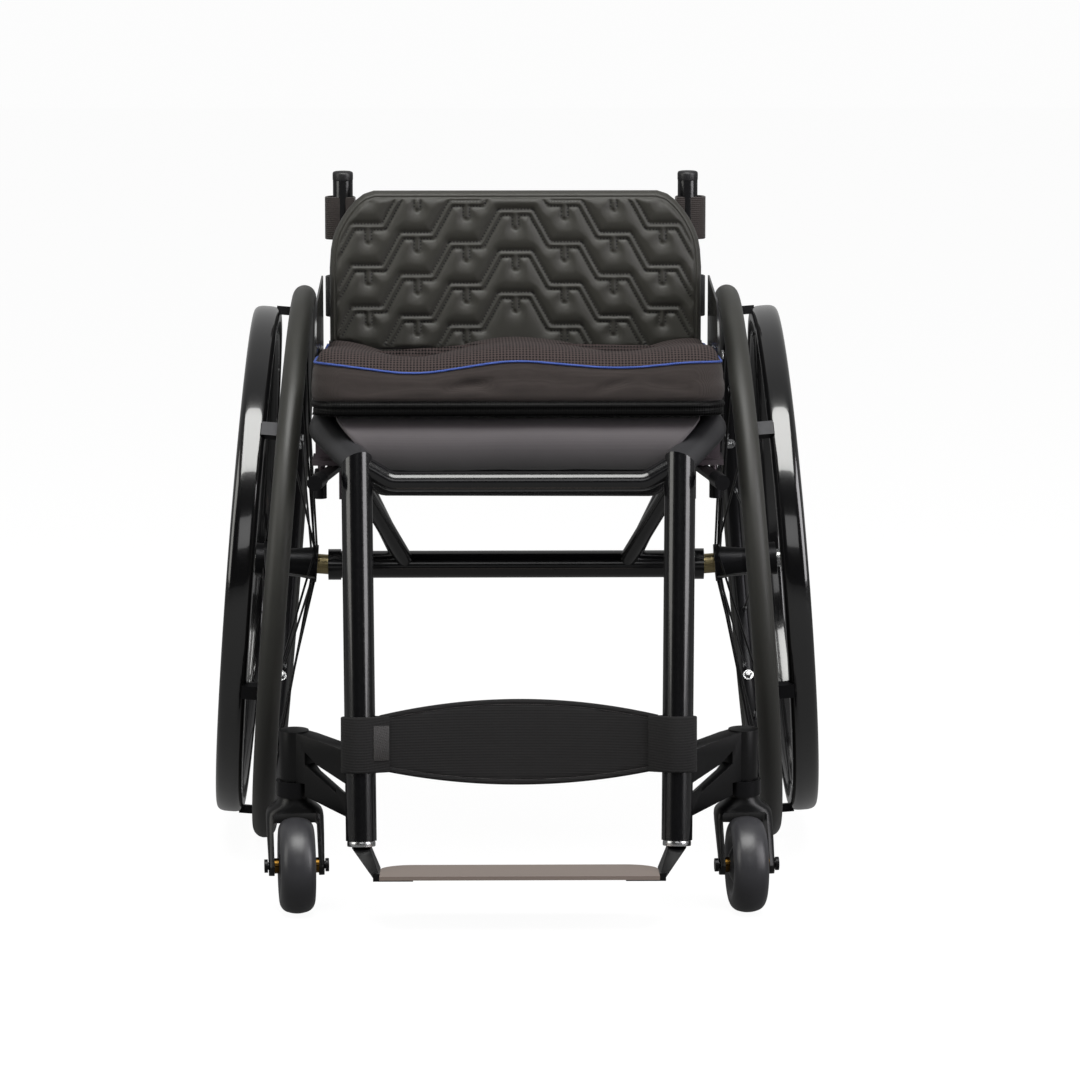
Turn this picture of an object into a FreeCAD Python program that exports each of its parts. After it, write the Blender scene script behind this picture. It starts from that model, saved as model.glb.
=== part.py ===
import FreeCAD, Part
import math
import os

# Active wheelchair with a rigid frame, cambered wheels and a fold-down backrest.
# Millimetres, +Z up, front of the chair towards -Y, +X to the left hand of someone facing it.
# The origin is on the floor under the middle of the whole chair.

Vector = FreeCAD.Vector
os.makedirs("parts", exist_ok=True)

# Driving dimensions: wheels
tyre_radius = 305.0
tyre_height = 21.0
rim_width = 18.0
rim_depth = 17.0
camber = 4.5
hub_inner_length = 36.0
caster_radius = 50.0
caster_width = 36.0
caster_trail = 34.0
caster_turn = 5.0

# Driving dimensions: frame. Lengths forward and back are from the rear axle, heights from the floor
frame_tube_diameter = 32.0
frame_tube_wall = 2.0
rail_half_width = 203.0
axle_tube_overhang = 4.0
sleeve_show_length = 12.0
knee_draw_width = 36.0
foot_draw_width = 4.0
stem_reach_width = 71.0
knee_forward = 340.0
shoulder_run_length = 78.0
foot_lead_length = 62.0
stem_setback_length = 64.0
rail_rear_length = 98.0
knee_height = 469.0
rail_front_height = 491.0
rail_rear_height = 463.0
foot_height = 83.5

# Driving dimensions: seat, backrest and footrest
cushion_overhang = 12.0
cushion_setback_length = 5.0
cushion_rear_length = 20.0
cushion_thickness = 55.0
post_back_length = 80.0
post_inset_width = 12.5
post_diameter = 22.0
post_top_height = 727.0
hinge_height = 528.0
pad_drop_height = 19.0
pad_overhang = 14.5
pad_thickness = 26.0
footplate_lead_length = 76.0
footplate_depth = 88.0
footplate_height = 59.5

# Clearances and overruns
running_clearance = 0.05
seat_clearance = 0.3
body_clearance = 0.5
overrun = 5.0

# Places that follow, across the chair and along it
knee_half_width = rail_half_width - knee_draw_width
foot_half_width = knee_half_width - foot_draw_width
stem_half_width = foot_half_width + stem_reach_width
axle_tube_half_length = rail_half_width + axle_tube_overhang
half_track = axle_tube_half_length + sleeve_show_length + hub_inner_length
cushion_half = rail_half_width + cushion_overhang
post_half_width = rail_half_width - post_inset_width
pad_half_width = post_half_width + pad_overhang
rail_front_forward = knee_forward - shoulder_run_length
foot_forward = knee_forward + foot_lead_length
stem_forward = foot_forward - stem_setback_length
footplate_front_forward = foot_forward + footplate_lead_length
cushion_front_forward = knee_forward - cushion_setback_length
pad_top_height = post_top_height - pad_drop_height

# The rear axle's place: the chair's box, from the footplate to the tyres' back, is centred on Y = 0
axle_y = (footplate_front_forward - tyre_radius) / 2
crown_radius = ((rim_width / 2) ** 2 + tyre_height ** 2) / (2 * tyre_height)
hub_height = (tyre_radius - crown_radius) * math.cos(math.radians(camber)) + crown_radius
frame_tube_radius = frame_tube_diameter / 2
frame_bore_radius = frame_tube_radius - frame_tube_wall
post_radius = post_diameter / 2


# Shapes used by several sections

def at(x, forward, z):
    """A point given by its distance in front of the rear axle."""
    return Vector(x, axle_y - forward, z)


def rod(start, end, radius):
    """A round bar from one point to another."""
    return Part.makeCylinder(radius, (end - start).Length, start, end - start)


def tube(start, end, radius, bore):
    """A straight round tube."""
    return rod(start, end, radius).cut(rod(start, end, bore))


def prism(points, depth):
    """A closed outline of corner points swept along a vector."""
    return Part.Face(Part.makePolygon(points + points[:1])).extrude(depth)


def turned(profile):
    """A closed outline of (along the axle, radius) points turned about the X axis."""
    points = [Vector(along, 0, radius) for along, radius in profile]
    face = Part.Face(Part.makePolygon(points + points[:1]))
    return face.revolve(Vector(), Vector(1, 0, 0), 360)


def bent_wire(points, bend_radius):
    """Straight runs joined by tangent arcs of one radius."""
    edges = []
    start = points[0]
    for before, corner, after in zip(points, points[1:], points[2:]):
        into = (corner - before).normalize()
        out = (after - corner).normalize()
        half_turn = into.getAngle(out) / 2
        setback = bend_radius * math.tan(half_turn)
        first = corner - into * setback
        last = corner + out * setback
        inward = (out - into).normalize()
        middle = corner + inward * (bend_radius / math.cos(half_turn) - bend_radius)
        edges.append(Part.LineSegment(start, first).toShape())
        edges.append(Part.Arc(first, middle, last).toShape())
        start = last
    edges.append(Part.LineSegment(start, points[-1]).toShape())
    return Part.Wire(edges)


def bent_bar(points, bend_radius, radius):
    """A round bar swept along straight runs and arcs."""
    path = bent_wire(points, bend_radius)
    direction = points[1] - points[0]
    section = Part.Wire([Part.makeCircle(radius, points[0], direction)])
    return path.makePipeShell([section], True, False)


def far_side(point, normal):
    """A block that fills everything behind a plane."""
    reach = 2 * tyre_radius
    return Part.makeCylinder(reach, reach, point, normal * -1)


def mirrored(shape):
    """The same piece on the other side of the chair."""
    return shape.mirror(Vector(), Vector(1, 0, 0))


def both(shape):
    return [mirrored(shape), shape]


def save(node, *solids):
    """One file per piece; like pieces share one as a group of solids."""
    shape = solids[0] if len(solids) == 1 else Part.makeCompound(list(solids))
    shape.exportStep("parts/" + node + ".step")


def save_pair(node, shape):
    """One node for each side of the chair."""
    save(node + "_left", mirrored(shape))
    save(node + "_right", shape)


# Rear wheels. Each is made about the X axis with +X outboard, then leaned by the camber.

def on_axle(shape):
    """Leans a wheel piece by the camber and puts it on the right side of the chair."""
    placed = shape.copy()
    placed.rotate(Vector(), Vector(0, 1, 0), -camber)
    placed.translate(Vector(half_track, axle_y, hub_height))
    return placed


rim_outer_radius = tyre_radius - tyre_height
rim_inner_radius = rim_outer_radius - rim_depth
rim_half_width = rim_width / 2
rim_nose_half_width = 5.5
rim_flank_depth = 7.0

tyre_arcs = [Part.Arc(Vector(-rim_half_width, 0, rim_outer_radius),
                      Vector(-crown_radius, 0, tyre_radius - crown_radius),
                      Vector(0, 0, tyre_radius)).toShape(),
             Part.Arc(Vector(0, 0, tyre_radius),
                      Vector(crown_radius, 0, tyre_radius - crown_radius),
                      Vector(rim_half_width, 0, rim_outer_radius)).toShape(),
             Part.LineSegment(Vector(rim_half_width, 0, rim_outer_radius),
                              Vector(-rim_half_width, 0, rim_outer_radius)).toShape()]
tyre = Part.Face(Part.Wire(tyre_arcs)).revolve(Vector(), Vector(1, 0, 0), 360)
save_pair("tyre", on_axle(tyre))

rim = turned([(-rim_half_width, rim_outer_radius), (rim_half_width, rim_outer_radius),
              (rim_half_width, rim_outer_radius - rim_flank_depth),
              (rim_nose_half_width, rim_inner_radius), (-rim_nose_half_width, rim_inner_radius),
              (-rim_half_width, rim_outer_radius - rim_flank_depth)])
save_pair("rim", on_axle(rim))

# Hub: two flanges that hold the bearings, and a waisted barrel between them
axle_radius = 6.35
flange_radius = 20.5
flange_width = 6.0
hub_inner_end = -hub_inner_length
hub_outer_end = 32.0
hub_outer_flange = 18.0
barrel_radius = 14.5
barrel_cone_radius = 18.0
barrel_cone_length = 24.0
outer_boss_radius = 18.0
bearing_radius = 14.3
bearing_width = 8.0
bearing_recess = 0.5
barrel_bore_radius = 8.0

hub = turned([(hub_inner_end, axle_radius + body_clearance), (hub_inner_end, flange_radius),
              (hub_inner_end + flange_width, flange_radius),
              (hub_inner_end + flange_width, barrel_cone_radius),
              (hub_inner_end + flange_width + barrel_cone_length, barrel_radius),
              (hub_outer_flange, barrel_radius), (hub_outer_flange, flange_radius),
              (hub_outer_flange + flange_width, flange_radius),
              (hub_outer_flange + flange_width, outer_boss_radius),
              (hub_outer_end, outer_boss_radius), (hub_outer_end, axle_radius + body_clearance)])
barrel_bore = Part.makeCylinder(barrel_bore_radius, hub_outer_end - hub_inner_end + 2 * overrun,
                                Vector(hub_inner_end - overrun, 0, 0), Vector(1, 0, 0))
inner_bearing_seat = Part.makeCylinder(bearing_radius, bearing_width + bearing_recess + overrun,
                                       Vector(hub_inner_end - overrun, 0, 0), Vector(1, 0, 0))
outer_bearing_seat = Part.makeCylinder(bearing_radius, bearing_width + bearing_recess + overrun,
                                       Vector(hub_outer_end + overrun, 0, 0), Vector(-1, 0, 0))
hub = hub.cut(barrel_bore).cut(inner_bearing_seat).cut(outer_bearing_seat)
save_pair("hub", on_axle(hub))

bearing_bore = axle_radius + running_clearance
bearings = []
for start in (hub_inner_end + bearing_recess, hub_outer_end - bearing_recess - bearing_width):
    bearings.append(turned([(start, bearing_bore), (start, bearing_radius),
                            (start + bearing_width, bearing_radius), (start + bearing_width, bearing_bore)]))
save("hub_bearings_left", *[mirrored(on_axle(bearing)) for bearing in bearings])
save("hub_bearings_right", *[on_axle(bearing) for bearing in bearings])

# Spokes: half from each flange, leaving it tangentially to both sides so that they cross
spoke_count = 24
spoke_radius = 1.25
spoke_rim_offset = 2.5
spoke_cross_offset = 1.6
spoke_root_radius = 17.0
spoke_sweep = 62.0
inner_flange_middle = hub_inner_end + flange_width / 2
outer_flange_middle = hub_outer_flange + flange_width / 2


def on_circle(along, radius, angle):
    return Vector(along, radius * math.sin(math.radians(angle)), radius * math.cos(math.radians(angle)))


spokes = []
for index in range(spoke_count):
    angle = 360 * (index + 0.5) / spoke_count
    inner_side = index % 2 == 0
    lead = 1 if index % 4 < 2 else -1
    flange_middle = inner_flange_middle if inner_side else outer_flange_middle
    rim_offset = -spoke_rim_offset if inner_side else spoke_rim_offset
    root = on_circle(flange_middle + lead * spoke_cross_offset, spoke_root_radius, angle + lead * spoke_sweep)
    tip = on_circle(rim_offset, rim_inner_radius + spoke_radius, angle)
    spokes.append(rod(root, tip, spoke_radius).cut(hub).cut(rim))
save("spokes_left", *[mirrored(on_axle(spoke)) for spoke in spokes])
save("spokes_right", *[on_axle(spoke) for spoke in spokes])

# Push rim: a broad flat-faced band outboard of the tyre, on six tabs
handrim_drop_height = 26.0
handrim_width = 29.0
handrim_depth = 18.0
handrim_corner = 6.5
handrim_offset = 39.0
handrim_radius = tyre_radius - handrim_drop_height
tab_count = 6
tab_width = 16.0
tab_first_angle = 50.0
tab_inset = 4.0
tab_inner_radius = rim_inner_radius + tab_inset
tab_outer_radius = rim_outer_radius - tab_inset

left_edge = handrim_offset - handrim_width / 2
right_edge = handrim_offset + handrim_width / 2
handrim = turned([(left_edge, handrim_radius - handrim_corner),
                  (left_edge + handrim_corner / 2, handrim_radius - handrim_corner / 4),
                  (left_edge + handrim_corner, handrim_radius),
                  (right_edge - handrim_corner, handrim_radius),
                  (right_edge - handrim_corner / 4, handrim_radius - handrim_corner / 2),
                  (right_edge, handrim_radius - handrim_corner),
                  (right_edge, handrim_radius - handrim_depth + handrim_corner),
                  (right_edge - handrim_corner / 4, handrim_radius - handrim_depth + handrim_corner / 2),
                  (right_edge - handrim_corner, handrim_radius - handrim_depth),
                  (left_edge + handrim_corner, handrim_radius - handrim_depth),
                  (left_edge, handrim_radius - handrim_depth + handrim_corner)])
save_pair("handrim", on_axle(handrim))

tab_blank = Part.makeBox(left_edge - rim_half_width + overrun, tab_width, tab_outer_radius - tab_inner_radius,
                         Vector(rim_half_width, -tab_width / 2, tab_inner_radius)).cut(handrim)
tabs = []
for index in range(tab_count):
    tab = tab_blank.copy()
    tab.rotate(Vector(), Vector(1, 0, 0), tab_first_angle + 360 * index / tab_count)
    tabs.append(tab)
save("handrim_tabs_left", *[mirrored(on_axle(tab)) for tab in tabs])
save("handrim_tabs_right", *[on_axle(tab) for tab in tabs])

# Quick-release axle with the push button that frees its locking balls
axle_inner_end = -98.0
axle_head_gap = 1.0
axle_head_width = 8.0
axle_head_radius = 10.0
button_radius = 4.0
button_travel = 3.5
button_proud = 4.5
button_foot_depth = 7.0
axle_head_start = hub_outer_end + axle_head_gap
axle_head_end = axle_head_start + axle_head_width
button_pocket = Part.makeCylinder(button_radius + running_clearance,
                                  button_foot_depth + button_travel + body_clearance + overrun,
                                  Vector(axle_head_end + overrun, 0, 0), Vector(-1, 0, 0))
axle = turned([(axle_inner_end, 0), (axle_inner_end, axle_radius), (axle_head_start, axle_radius),
               (axle_head_start, axle_head_radius), (axle_head_end, axle_head_radius), (axle_head_end, 0)])
axle = axle.cut(button_pocket)
save("quick_release_axles", *both(on_axle(axle)))
axle_button = Part.makeCylinder(button_radius, button_proud + button_foot_depth,
                                Vector(axle_head_end + button_proud, 0, 0), Vector(-1, 0, 0))
save_pair("axle_button", on_axle(axle_button))

# Axle tube across the chair, with a stepped collar at each end, and the camber sleeves in it
axle_tube_radius = 15.0
axle_tube_bore = 12.5
axle_collar_radius = 17.0
axle_collar_length = 14.0
sleeve_radius = 10.85
plug_length = 56.0
axle_drop = (half_track - axle_tube_half_length) * math.tan(math.radians(camber))
axle_tube_height = hub_height - axle_drop


def across(inner_x, outer_x, radius):
    """A cylinder along X on the axle tube's centre line."""
    return Part.makeCylinder(radius, outer_x - inner_x, at(inner_x, 0, axle_tube_height), Vector(1, 0, 0))


axle_tube = across(-axle_tube_half_length, axle_tube_half_length, axle_tube_radius)
axle_tube = axle_tube.fuse(across(axle_tube_half_length - axle_collar_length, axle_tube_half_length,
                                  axle_collar_radius))
axle_tube = axle_tube.fuse(across(-axle_tube_half_length, -axle_tube_half_length + axle_collar_length,
                                  axle_collar_radius))
axle_tube = axle_tube.cut(across(-axle_tube_half_length - overrun, axle_tube_half_length + overrun,
                                 axle_tube_bore))
save("axle_tube", axle_tube.removeSplitter())

plug = across(axle_tube_half_length - plug_length, axle_tube_half_length, axle_tube_bore)
sleeve_start = hub_inner_end - seat_clearance
leaning_sleeve = on_axle(Part.makeCylinder(sleeve_radius, sleeve_show_length + overrun,
                                           Vector(sleeve_start, 0, 0), Vector(-1, 0, 0)))
leaning_sleeve = leaning_sleeve.cut(across(0, axle_tube_half_length, axle_collar_radius + overrun))
axle_hole = on_axle(Part.makeCylinder(axle_radius + running_clearance, half_track,
                                      Vector(hub_inner_end + overrun, 0, 0), Vector(-1, 0, 0)))
camber_sleeve = plug.fuse(leaning_sleeve).cut(axle_hole)
save("camber_sleeves", *both(camber_sleeve))

# Frame: on each side a seat rail that runs in to the knee, and a front tube down to the footrest
knee = at(knee_half_width, knee_forward, knee_height)
rail_front = at(rail_half_width, rail_front_forward, rail_front_height)
rail_rear = at(rail_half_width, -rail_rear_length, rail_rear_height)
foot = at(foot_half_width, foot_forward, foot_height)
rail_bend_radius = 70.0

shoulder_direction = (rail_front - knee).normalize()
front_direction = (foot - knee).normalize()
mitre_normal = (front_direction - shoulder_direction).normalize()
past_knee = frame_tube_diameter * 2
rail_points = [knee - shoulder_direction * past_knee, rail_front, rail_rear]
front_start = knee - front_direction * past_knee

rail_bar = bent_bar(rail_points, rail_bend_radius, frame_tube_radius).cut(far_side(knee, mitre_normal * -1))
rail_bore = bent_bar(rail_points, rail_bend_radius, frame_bore_radius)
save_pair("seat_rail", rail_bar.cut(rail_bore))

front_bar = rod(front_start, foot, frame_tube_radius).cut(far_side(knee, mitre_normal))
front_bore = rod(front_start, foot, frame_bore_radius)
save_pair("front_tube", front_bar.cut(front_bore))


def on_front_tube(height):
    """The point on the right front tube's centre line at a height."""
    return knee + (foot - knee) * ((knee_height - height) / (knee_height - foot_height))


def on_rail(forward):
    """The point on the right seat rail's centre line at a distance in front of the axle."""
    share = (rail_front_forward - forward) / (rail_front_forward + rail_rear_length)
    return rail_front + (rail_rear - rail_front) * share


frame_solids = [mirrored(rail_bar), rail_bar, mirrored(front_bar), front_bar]


def coped(shape, others):
    """A piece with its ends shaped to sit against the tubes that it is welded to."""
    for other in others:
        shape = shape.cut(other)
    return shape


crossbar_radius = 10.5
crossbar_drop_height = 20.0
crossbar_end_drop_height = 2.0
crossbar_end_run_length = 35.0
crossbar_bend_radius = 22.0
crossbar_height = knee_height - crossbar_drop_height
crossbar_end_height = knee_height - crossbar_end_drop_height
crossbar_half_straight = knee_half_width - crossbar_end_run_length
crossbar_end = at(knee_half_width - crossbar_radius / 2, knee_forward, crossbar_end_height)
crossbar_corner = at(crossbar_half_straight, knee_forward, crossbar_height)
crossbar_points = [mirrored(Part.Vertex(crossbar_end)).Point, mirrored(Part.Vertex(crossbar_corner)).Point,
                   crossbar_corner, crossbar_end]
crossbar = bent_bar(crossbar_points, crossbar_bend_radius, crossbar_radius)
save("front_crossbar", coped(crossbar, frame_solids))

# Struts from the rails down to the axle tube, two on each side
strut_radius = 9.5
strut_wall = 1.5
front_strut_setback_length = 100.0
front_strut_forward = tyre_radius - front_strut_setback_length
rear_strut_forward = 40.0
strut_draw_width = 83.0
rear_strut_draw_width = 79.0
front_strut_foot = rail_half_width - strut_draw_width
rear_strut_foot = rail_half_width - rear_strut_draw_width
strut_ends = [rail_bar, across(-axle_tube_half_length, axle_tube_half_length, axle_tube_radius)]


def strut(forward, foot_x, others):
    """A tube from the rail down to the axle tube, coped to both and to what else it meets."""
    bar = tube(on_rail(forward), at(foot_x, 0, axle_tube_height), strut_radius, strut_radius - strut_wall)
    return coped(bar, strut_ends + others)


front_strut_core = rod(on_rail(front_strut_forward), at(front_strut_foot, 0, axle_tube_height), strut_radius)
save("front_struts", *both(strut(front_strut_forward, front_strut_foot, [])))
save("rear_struts", *both(strut(rear_strut_forward, rear_strut_foot, [front_strut_core])))

# Caster arms: a forged two-legged bracket from the front tube to the upright bearing housing
housing_radius = 15.5
housing_base = 134.0
housing_top = 187.0
arm_half_thickness = 10.5
arm_tube_low = 104.0
arm_tube_high = 175.0
arm_low_turn_height = 121.0
arm_low_turn_share = 0.745
arm_high_turn_height = 185.0
arm_high_turn_share = 0.74
slot_root_share = 0.27
slot_end_share = 0.74
slot_root_low_height = 130.0
slot_root_high_height = 138.0
slot_end_low_height = 154.0
slot_end_high_height = 168.0
caster_bearing_radius = 11.0
caster_bearing_width = 7.0
stem_radius = 6.0

stem_foot = at(stem_half_width, stem_forward, 0)
arm_root = on_front_tube((arm_tube_low + arm_tube_high) / 2)
arm_run = Vector(stem_foot.x - arm_root.x, stem_foot.y - arm_root.y, 0)
arm_side = Vector(-arm_run.y, arm_run.x, 0).normalize()


def on_arm(share, height):
    """A point of the arm's outline: its share of the way to the stem, and its height."""
    return Vector(arm_root.x, arm_root.y, height) + arm_run * share - arm_side * arm_half_thickness


arm_outline = [on_arm(0, arm_tube_low), on_arm(arm_low_turn_share, arm_low_turn_height),
               on_arm(arm_low_turn_share, housing_base), on_arm(1, housing_base), on_arm(1, housing_top),
               on_arm(arm_high_turn_share, arm_high_turn_height), on_arm(0, arm_tube_high)]
slot_outline = [on_arm(slot_root_share, slot_root_low_height), on_arm(slot_end_share, slot_end_low_height),
                on_arm(slot_end_share, slot_end_high_height), on_arm(slot_root_share, slot_root_high_height)]
arm_depth = arm_side * (2 * arm_half_thickness)
arm_blade = prism(arm_outline, arm_depth).cut(prism(slot_outline, arm_depth))
stem_line = stem_foot + Vector(0, 0, housing_base)
housing = Part.makeCylinder(housing_radius, housing_top - housing_base, stem_line, Vector(0, 0, 1))
housing_lid = 8.0
housing_bore = Part.makeCylinder(caster_bearing_radius, housing_top - housing_base - housing_lid + overrun,
                                 stem_line - Vector(0, 0, overrun), Vector(0, 0, 1))
caster_arm = coped(arm_blade.fuse(housing), [front_bar, housing_bore])
save_pair("caster_arm", caster_arm)

lower_bearing_base = housing_base + body_clearance
upper_bearing_base = housing_top - housing_lid - caster_bearing_width
caster_bearings = []
for base in (lower_bearing_base, upper_bearing_base):
    ring_base = Vector(stem_foot.x, stem_foot.y, base)
    ring = Part.makeCylinder(caster_bearing_radius, caster_bearing_width, ring_base, Vector(0, 0, 1))
    bore = Part.makeCylinder(stem_radius + running_clearance, caster_bearing_width, ring_base, Vector(0, 0, 1))
    caster_bearings += both(ring.cut(bore))
save("caster_bearings", *caster_bearings)

# Caster forks and wheels, made about the stem's axis with the wheel ahead of it, then turned a little
fork_top = 118.0
fork_shoulder = 104.0
fork_half_width = 30.0
fork_neck_half_width = 19.0
fork_side_gap = 5.0
fork_leg_gap = caster_width / 2 + fork_side_gap
fork_tip_radius = 11.0
fork_back_height = 98.0
fork_front_height = 100.0
fork_tyre_gap = 4.0
caster_bolt_radius = 4.0
caster_head_radius = 7.0
caster_head_width = 3.5
stem_foot_depth = 14.0
ring_radius = 19.0
stem_top = upper_bearing_base + caster_bearing_width - seat_clearance

leg_run = Vector(0, -caster_trail, caster_radius - fork_back_height).normalize()
leg_normal = Vector(0, -leg_run.z, leg_run.y)
leg_tip = Vector(0, -caster_trail, caster_radius)
tip_back = leg_tip + leg_normal * fork_tip_radius
tip_front = leg_tip - leg_normal * fork_tip_radius
tip_end = leg_tip + leg_run * fork_tip_radius
side_corners = [tip_front, Vector(0, -fork_neck_half_width, fork_front_height),
                Vector(0, -fork_neck_half_width, fork_top), Vector(0, fork_neck_half_width, fork_top),
                Vector(0, fork_neck_half_width, fork_back_height), tip_back]
side_edges = [Part.LineSegment(a, b).toShape() for a, b in zip(side_corners, side_corners[1:])]
side_edges.append(Part.Arc(tip_back, tip_end, tip_front).toShape())
fork_side = Part.Face(Part.Wire(side_edges))
fork_side.translate(Vector(-fork_half_width, 0, 0))
fork_side = fork_side.extrude(Vector(2 * fork_half_width, 0, 0))
fork_front_outline = [Vector(x, -fork_half_width * 3, z) for x, z in (
    (-fork_half_width, 0), (-fork_half_width, fork_shoulder), (-fork_neck_half_width, fork_top),
    (fork_neck_half_width, fork_top), (fork_half_width, fork_shoulder), (fork_half_width, 0))]
fork_front = prism(fork_front_outline, Vector(0, fork_half_width * 6, 0))


def on_caster_axle(start, width, radius):
    """A cylinder on the caster wheel's axis, from one place across the fork."""
    return Part.makeCylinder(radius, width, Vector(start, -caster_trail, caster_radius), Vector(1, 0, 0))


wheel_space = on_caster_axle(-fork_leg_gap, 2 * fork_leg_gap, caster_radius + fork_tyre_gap)
fork = fork_side.common(fork_front).cut(wheel_space)
fork = fork.cut(on_caster_axle(-fork_half_width - overrun, 2 * fork_half_width + 2 * overrun, caster_bolt_radius))
fork = fork.cut(Part.makeCylinder(stem_radius, stem_foot_depth + overrun,
                                  Vector(0, 0, fork_top - stem_foot_depth), Vector(0, 0, 1)))

stem = Part.makeCylinder(stem_radius, stem_top - fork_top + stem_foot_depth,
                         Vector(0, 0, fork_top - stem_foot_depth), Vector(0, 0, 1))
ring_top = housing_base - seat_clearance
stem = stem.fuse(Part.makeCylinder(ring_radius, ring_top - fork_top, Vector(0, 0, fork_top), Vector(0, 0, 1)))

caster_bolt = on_caster_axle(-fork_half_width, 2 * fork_half_width, caster_bolt_radius)
for start in (-fork_half_width - caster_head_width, fork_half_width):
    caster_bolt = caster_bolt.fuse(on_caster_axle(start, caster_head_width, caster_head_radius))

core_lip = 0.5
core_hub_radius = 11.0
core_rim_inset = 2.0
core_half_width = caster_width / 2 + core_lip
core_radius = 30.0
core_waist_radius = 24.0
core_waist_depth = 7.0
spacer_radius = 8.0
spacer_length = fork_leg_gap - core_half_width - seat_clearance
spacers = []
for start in (-fork_leg_gap, fork_leg_gap - spacer_length):
    spacers.append(on_caster_axle(start, spacer_length, spacer_radius).cut(
        on_caster_axle(start, spacer_length, caster_bolt_radius)))

core_profile = [(-core_half_width, caster_bolt_radius + running_clearance), (-core_half_width, core_hub_radius),
                (-core_half_width + core_waist_depth, core_waist_radius), (-caster_width / 2 + core_rim_inset, core_radius),
                (caster_width / 2 - core_rim_inset, core_radius), (core_half_width - core_waist_depth, core_waist_radius),
                (core_half_width, core_hub_radius), (core_half_width, caster_bolt_radius + running_clearance)]
caster_core = turned(core_profile)
caster_core.translate(Vector(0, -caster_trail, caster_radius))

tread_half_width_share = 0.52
tread_drop_share = 0.03
tyre_points = [Vector(-caster_width / 2 + core_rim_inset, 0, core_radius),
               Vector(-caster_width / 2, 0, core_radius + (caster_radius - core_radius) / 2),
               Vector(-caster_width / 2 * tread_half_width_share, 0, caster_radius * (1 - tread_drop_share)),
               Vector(0, 0, caster_radius)]
caster_outline = tyre_points + [Vector(-point.x, 0, point.z) for point in reversed(tyre_points[:-1])]
caster_edges = [Part.Arc(caster_outline[0], caster_outline[1], caster_outline[2]).toShape(),
                Part.Arc(caster_outline[2], caster_outline[3], caster_outline[4]).toShape(),
                Part.Arc(caster_outline[4], caster_outline[5], caster_outline[6]).toShape(),
                Part.LineSegment(caster_outline[6], caster_outline[0]).toShape()]
caster_tyre = Part.Face(Part.Wire(caster_edges)).revolve(Vector(), Vector(1, 0, 0), 360)
caster_tyre.translate(Vector(0, -caster_trail, caster_radius))


def at_stem(shape, side):
    """Turns a caster piece about the stem and puts it on one side of the chair."""
    placed = shape.copy()
    placed.rotate(Vector(), Vector(0, 0, 1), caster_turn)
    placed.translate(Vector(side * stem_foot.x, stem_foot.y, 0))
    return placed


for side, label in ((-1, "left"), (1, "right")):
    save("caster_fork_" + label, at_stem(fork, side))
    save("caster_stem_" + label, at_stem(stem, side))
    save("caster_bolt_" + label, at_stem(caster_bolt, side))
    save("caster_spacers_" + label, *[at_stem(spacer, side) for spacer in spacers])
    save("caster_core_" + label, at_stem(caster_core, side))
    save("caster_tyre_" + label, at_stem(caster_tyre, side))

# Footrest: a tube that slides up each front tube, a forged foot that tapers inboard, and the plate
hanger_insert = 110.0
hanger_plug_length = 6.0
hanger_neck_share = 0.42
footplate_inset_width = 20.0
footplate_half_width = foot_half_width - footplate_inset_width
footplate_thickness = 4.0
footplate_tilt = 5.8
footplate_corner = 34.0
hanger_neck = 9.5
tongue_length = 34.0
tongue_thickness = 4.0
tongue_depth = 46.0
foot_blade_thickness = 7.0

hanger_tube = rod(foot - front_direction * hanger_insert, foot + front_direction * hanger_plug_length,
                  frame_bore_radius)
plate_frame = FreeCAD.Placement(at(0, footplate_front_forward, footplate_height),
                                FreeCAD.Rotation(Vector(1, 0, 0), -footplate_tilt))


def on_plate(shape):
    """Moves a shape from the footplate's own flat frame, front edge on Y = 0, to the chair."""
    placed = shape.copy()
    placed.Placement = plate_frame.multiply(placed.Placement)
    return placed


corner = footplate_corner
corner_mid = corner * (1 - math.sqrt(0.5))
rear = footplate_depth
plate_edges = [
    Part.LineSegment(Vector(-footplate_half_width, 0, 0), Vector(footplate_half_width, 0, 0)).toShape(),
    Part.LineSegment(Vector(footplate_half_width, 0, 0), Vector(footplate_half_width, rear - corner, 0)).toShape(),
    Part.Arc(Vector(footplate_half_width, rear - corner, 0),
             Vector(footplate_half_width - corner_mid, rear - corner_mid, 0),
             Vector(footplate_half_width - corner, rear, 0)).toShape(),
    Part.LineSegment(Vector(footplate_half_width - corner, rear, 0),
                     Vector(-footplate_half_width + corner, rear, 0)).toShape(),
    Part.Arc(Vector(-footplate_half_width + corner, rear, 0),
             Vector(-footplate_half_width + corner_mid, rear - corner_mid, 0),
             Vector(-footplate_half_width, rear - corner, 0)).toShape(),
    Part.LineSegment(Vector(-footplate_half_width, rear - corner, 0), Vector(-footplate_half_width, 0, 0)).toShape()]
footplate = Part.Face(Part.Wire(plate_edges)).extrude(Vector(0, 0, footplate_thickness))
save("footplate", on_plate(footplate))


def rectangle(centre, half_x, half_y, z):
    corners = [Vector(centre.x - half_x, centre.y - half_y, z), Vector(centre.x + half_x, centre.y - half_y, z),
               Vector(centre.x + half_x, centre.y + half_y, z), Vector(centre.x - half_x, centre.y + half_y, z)]
    return Part.makePolygon(corners + corners[:1])


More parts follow.
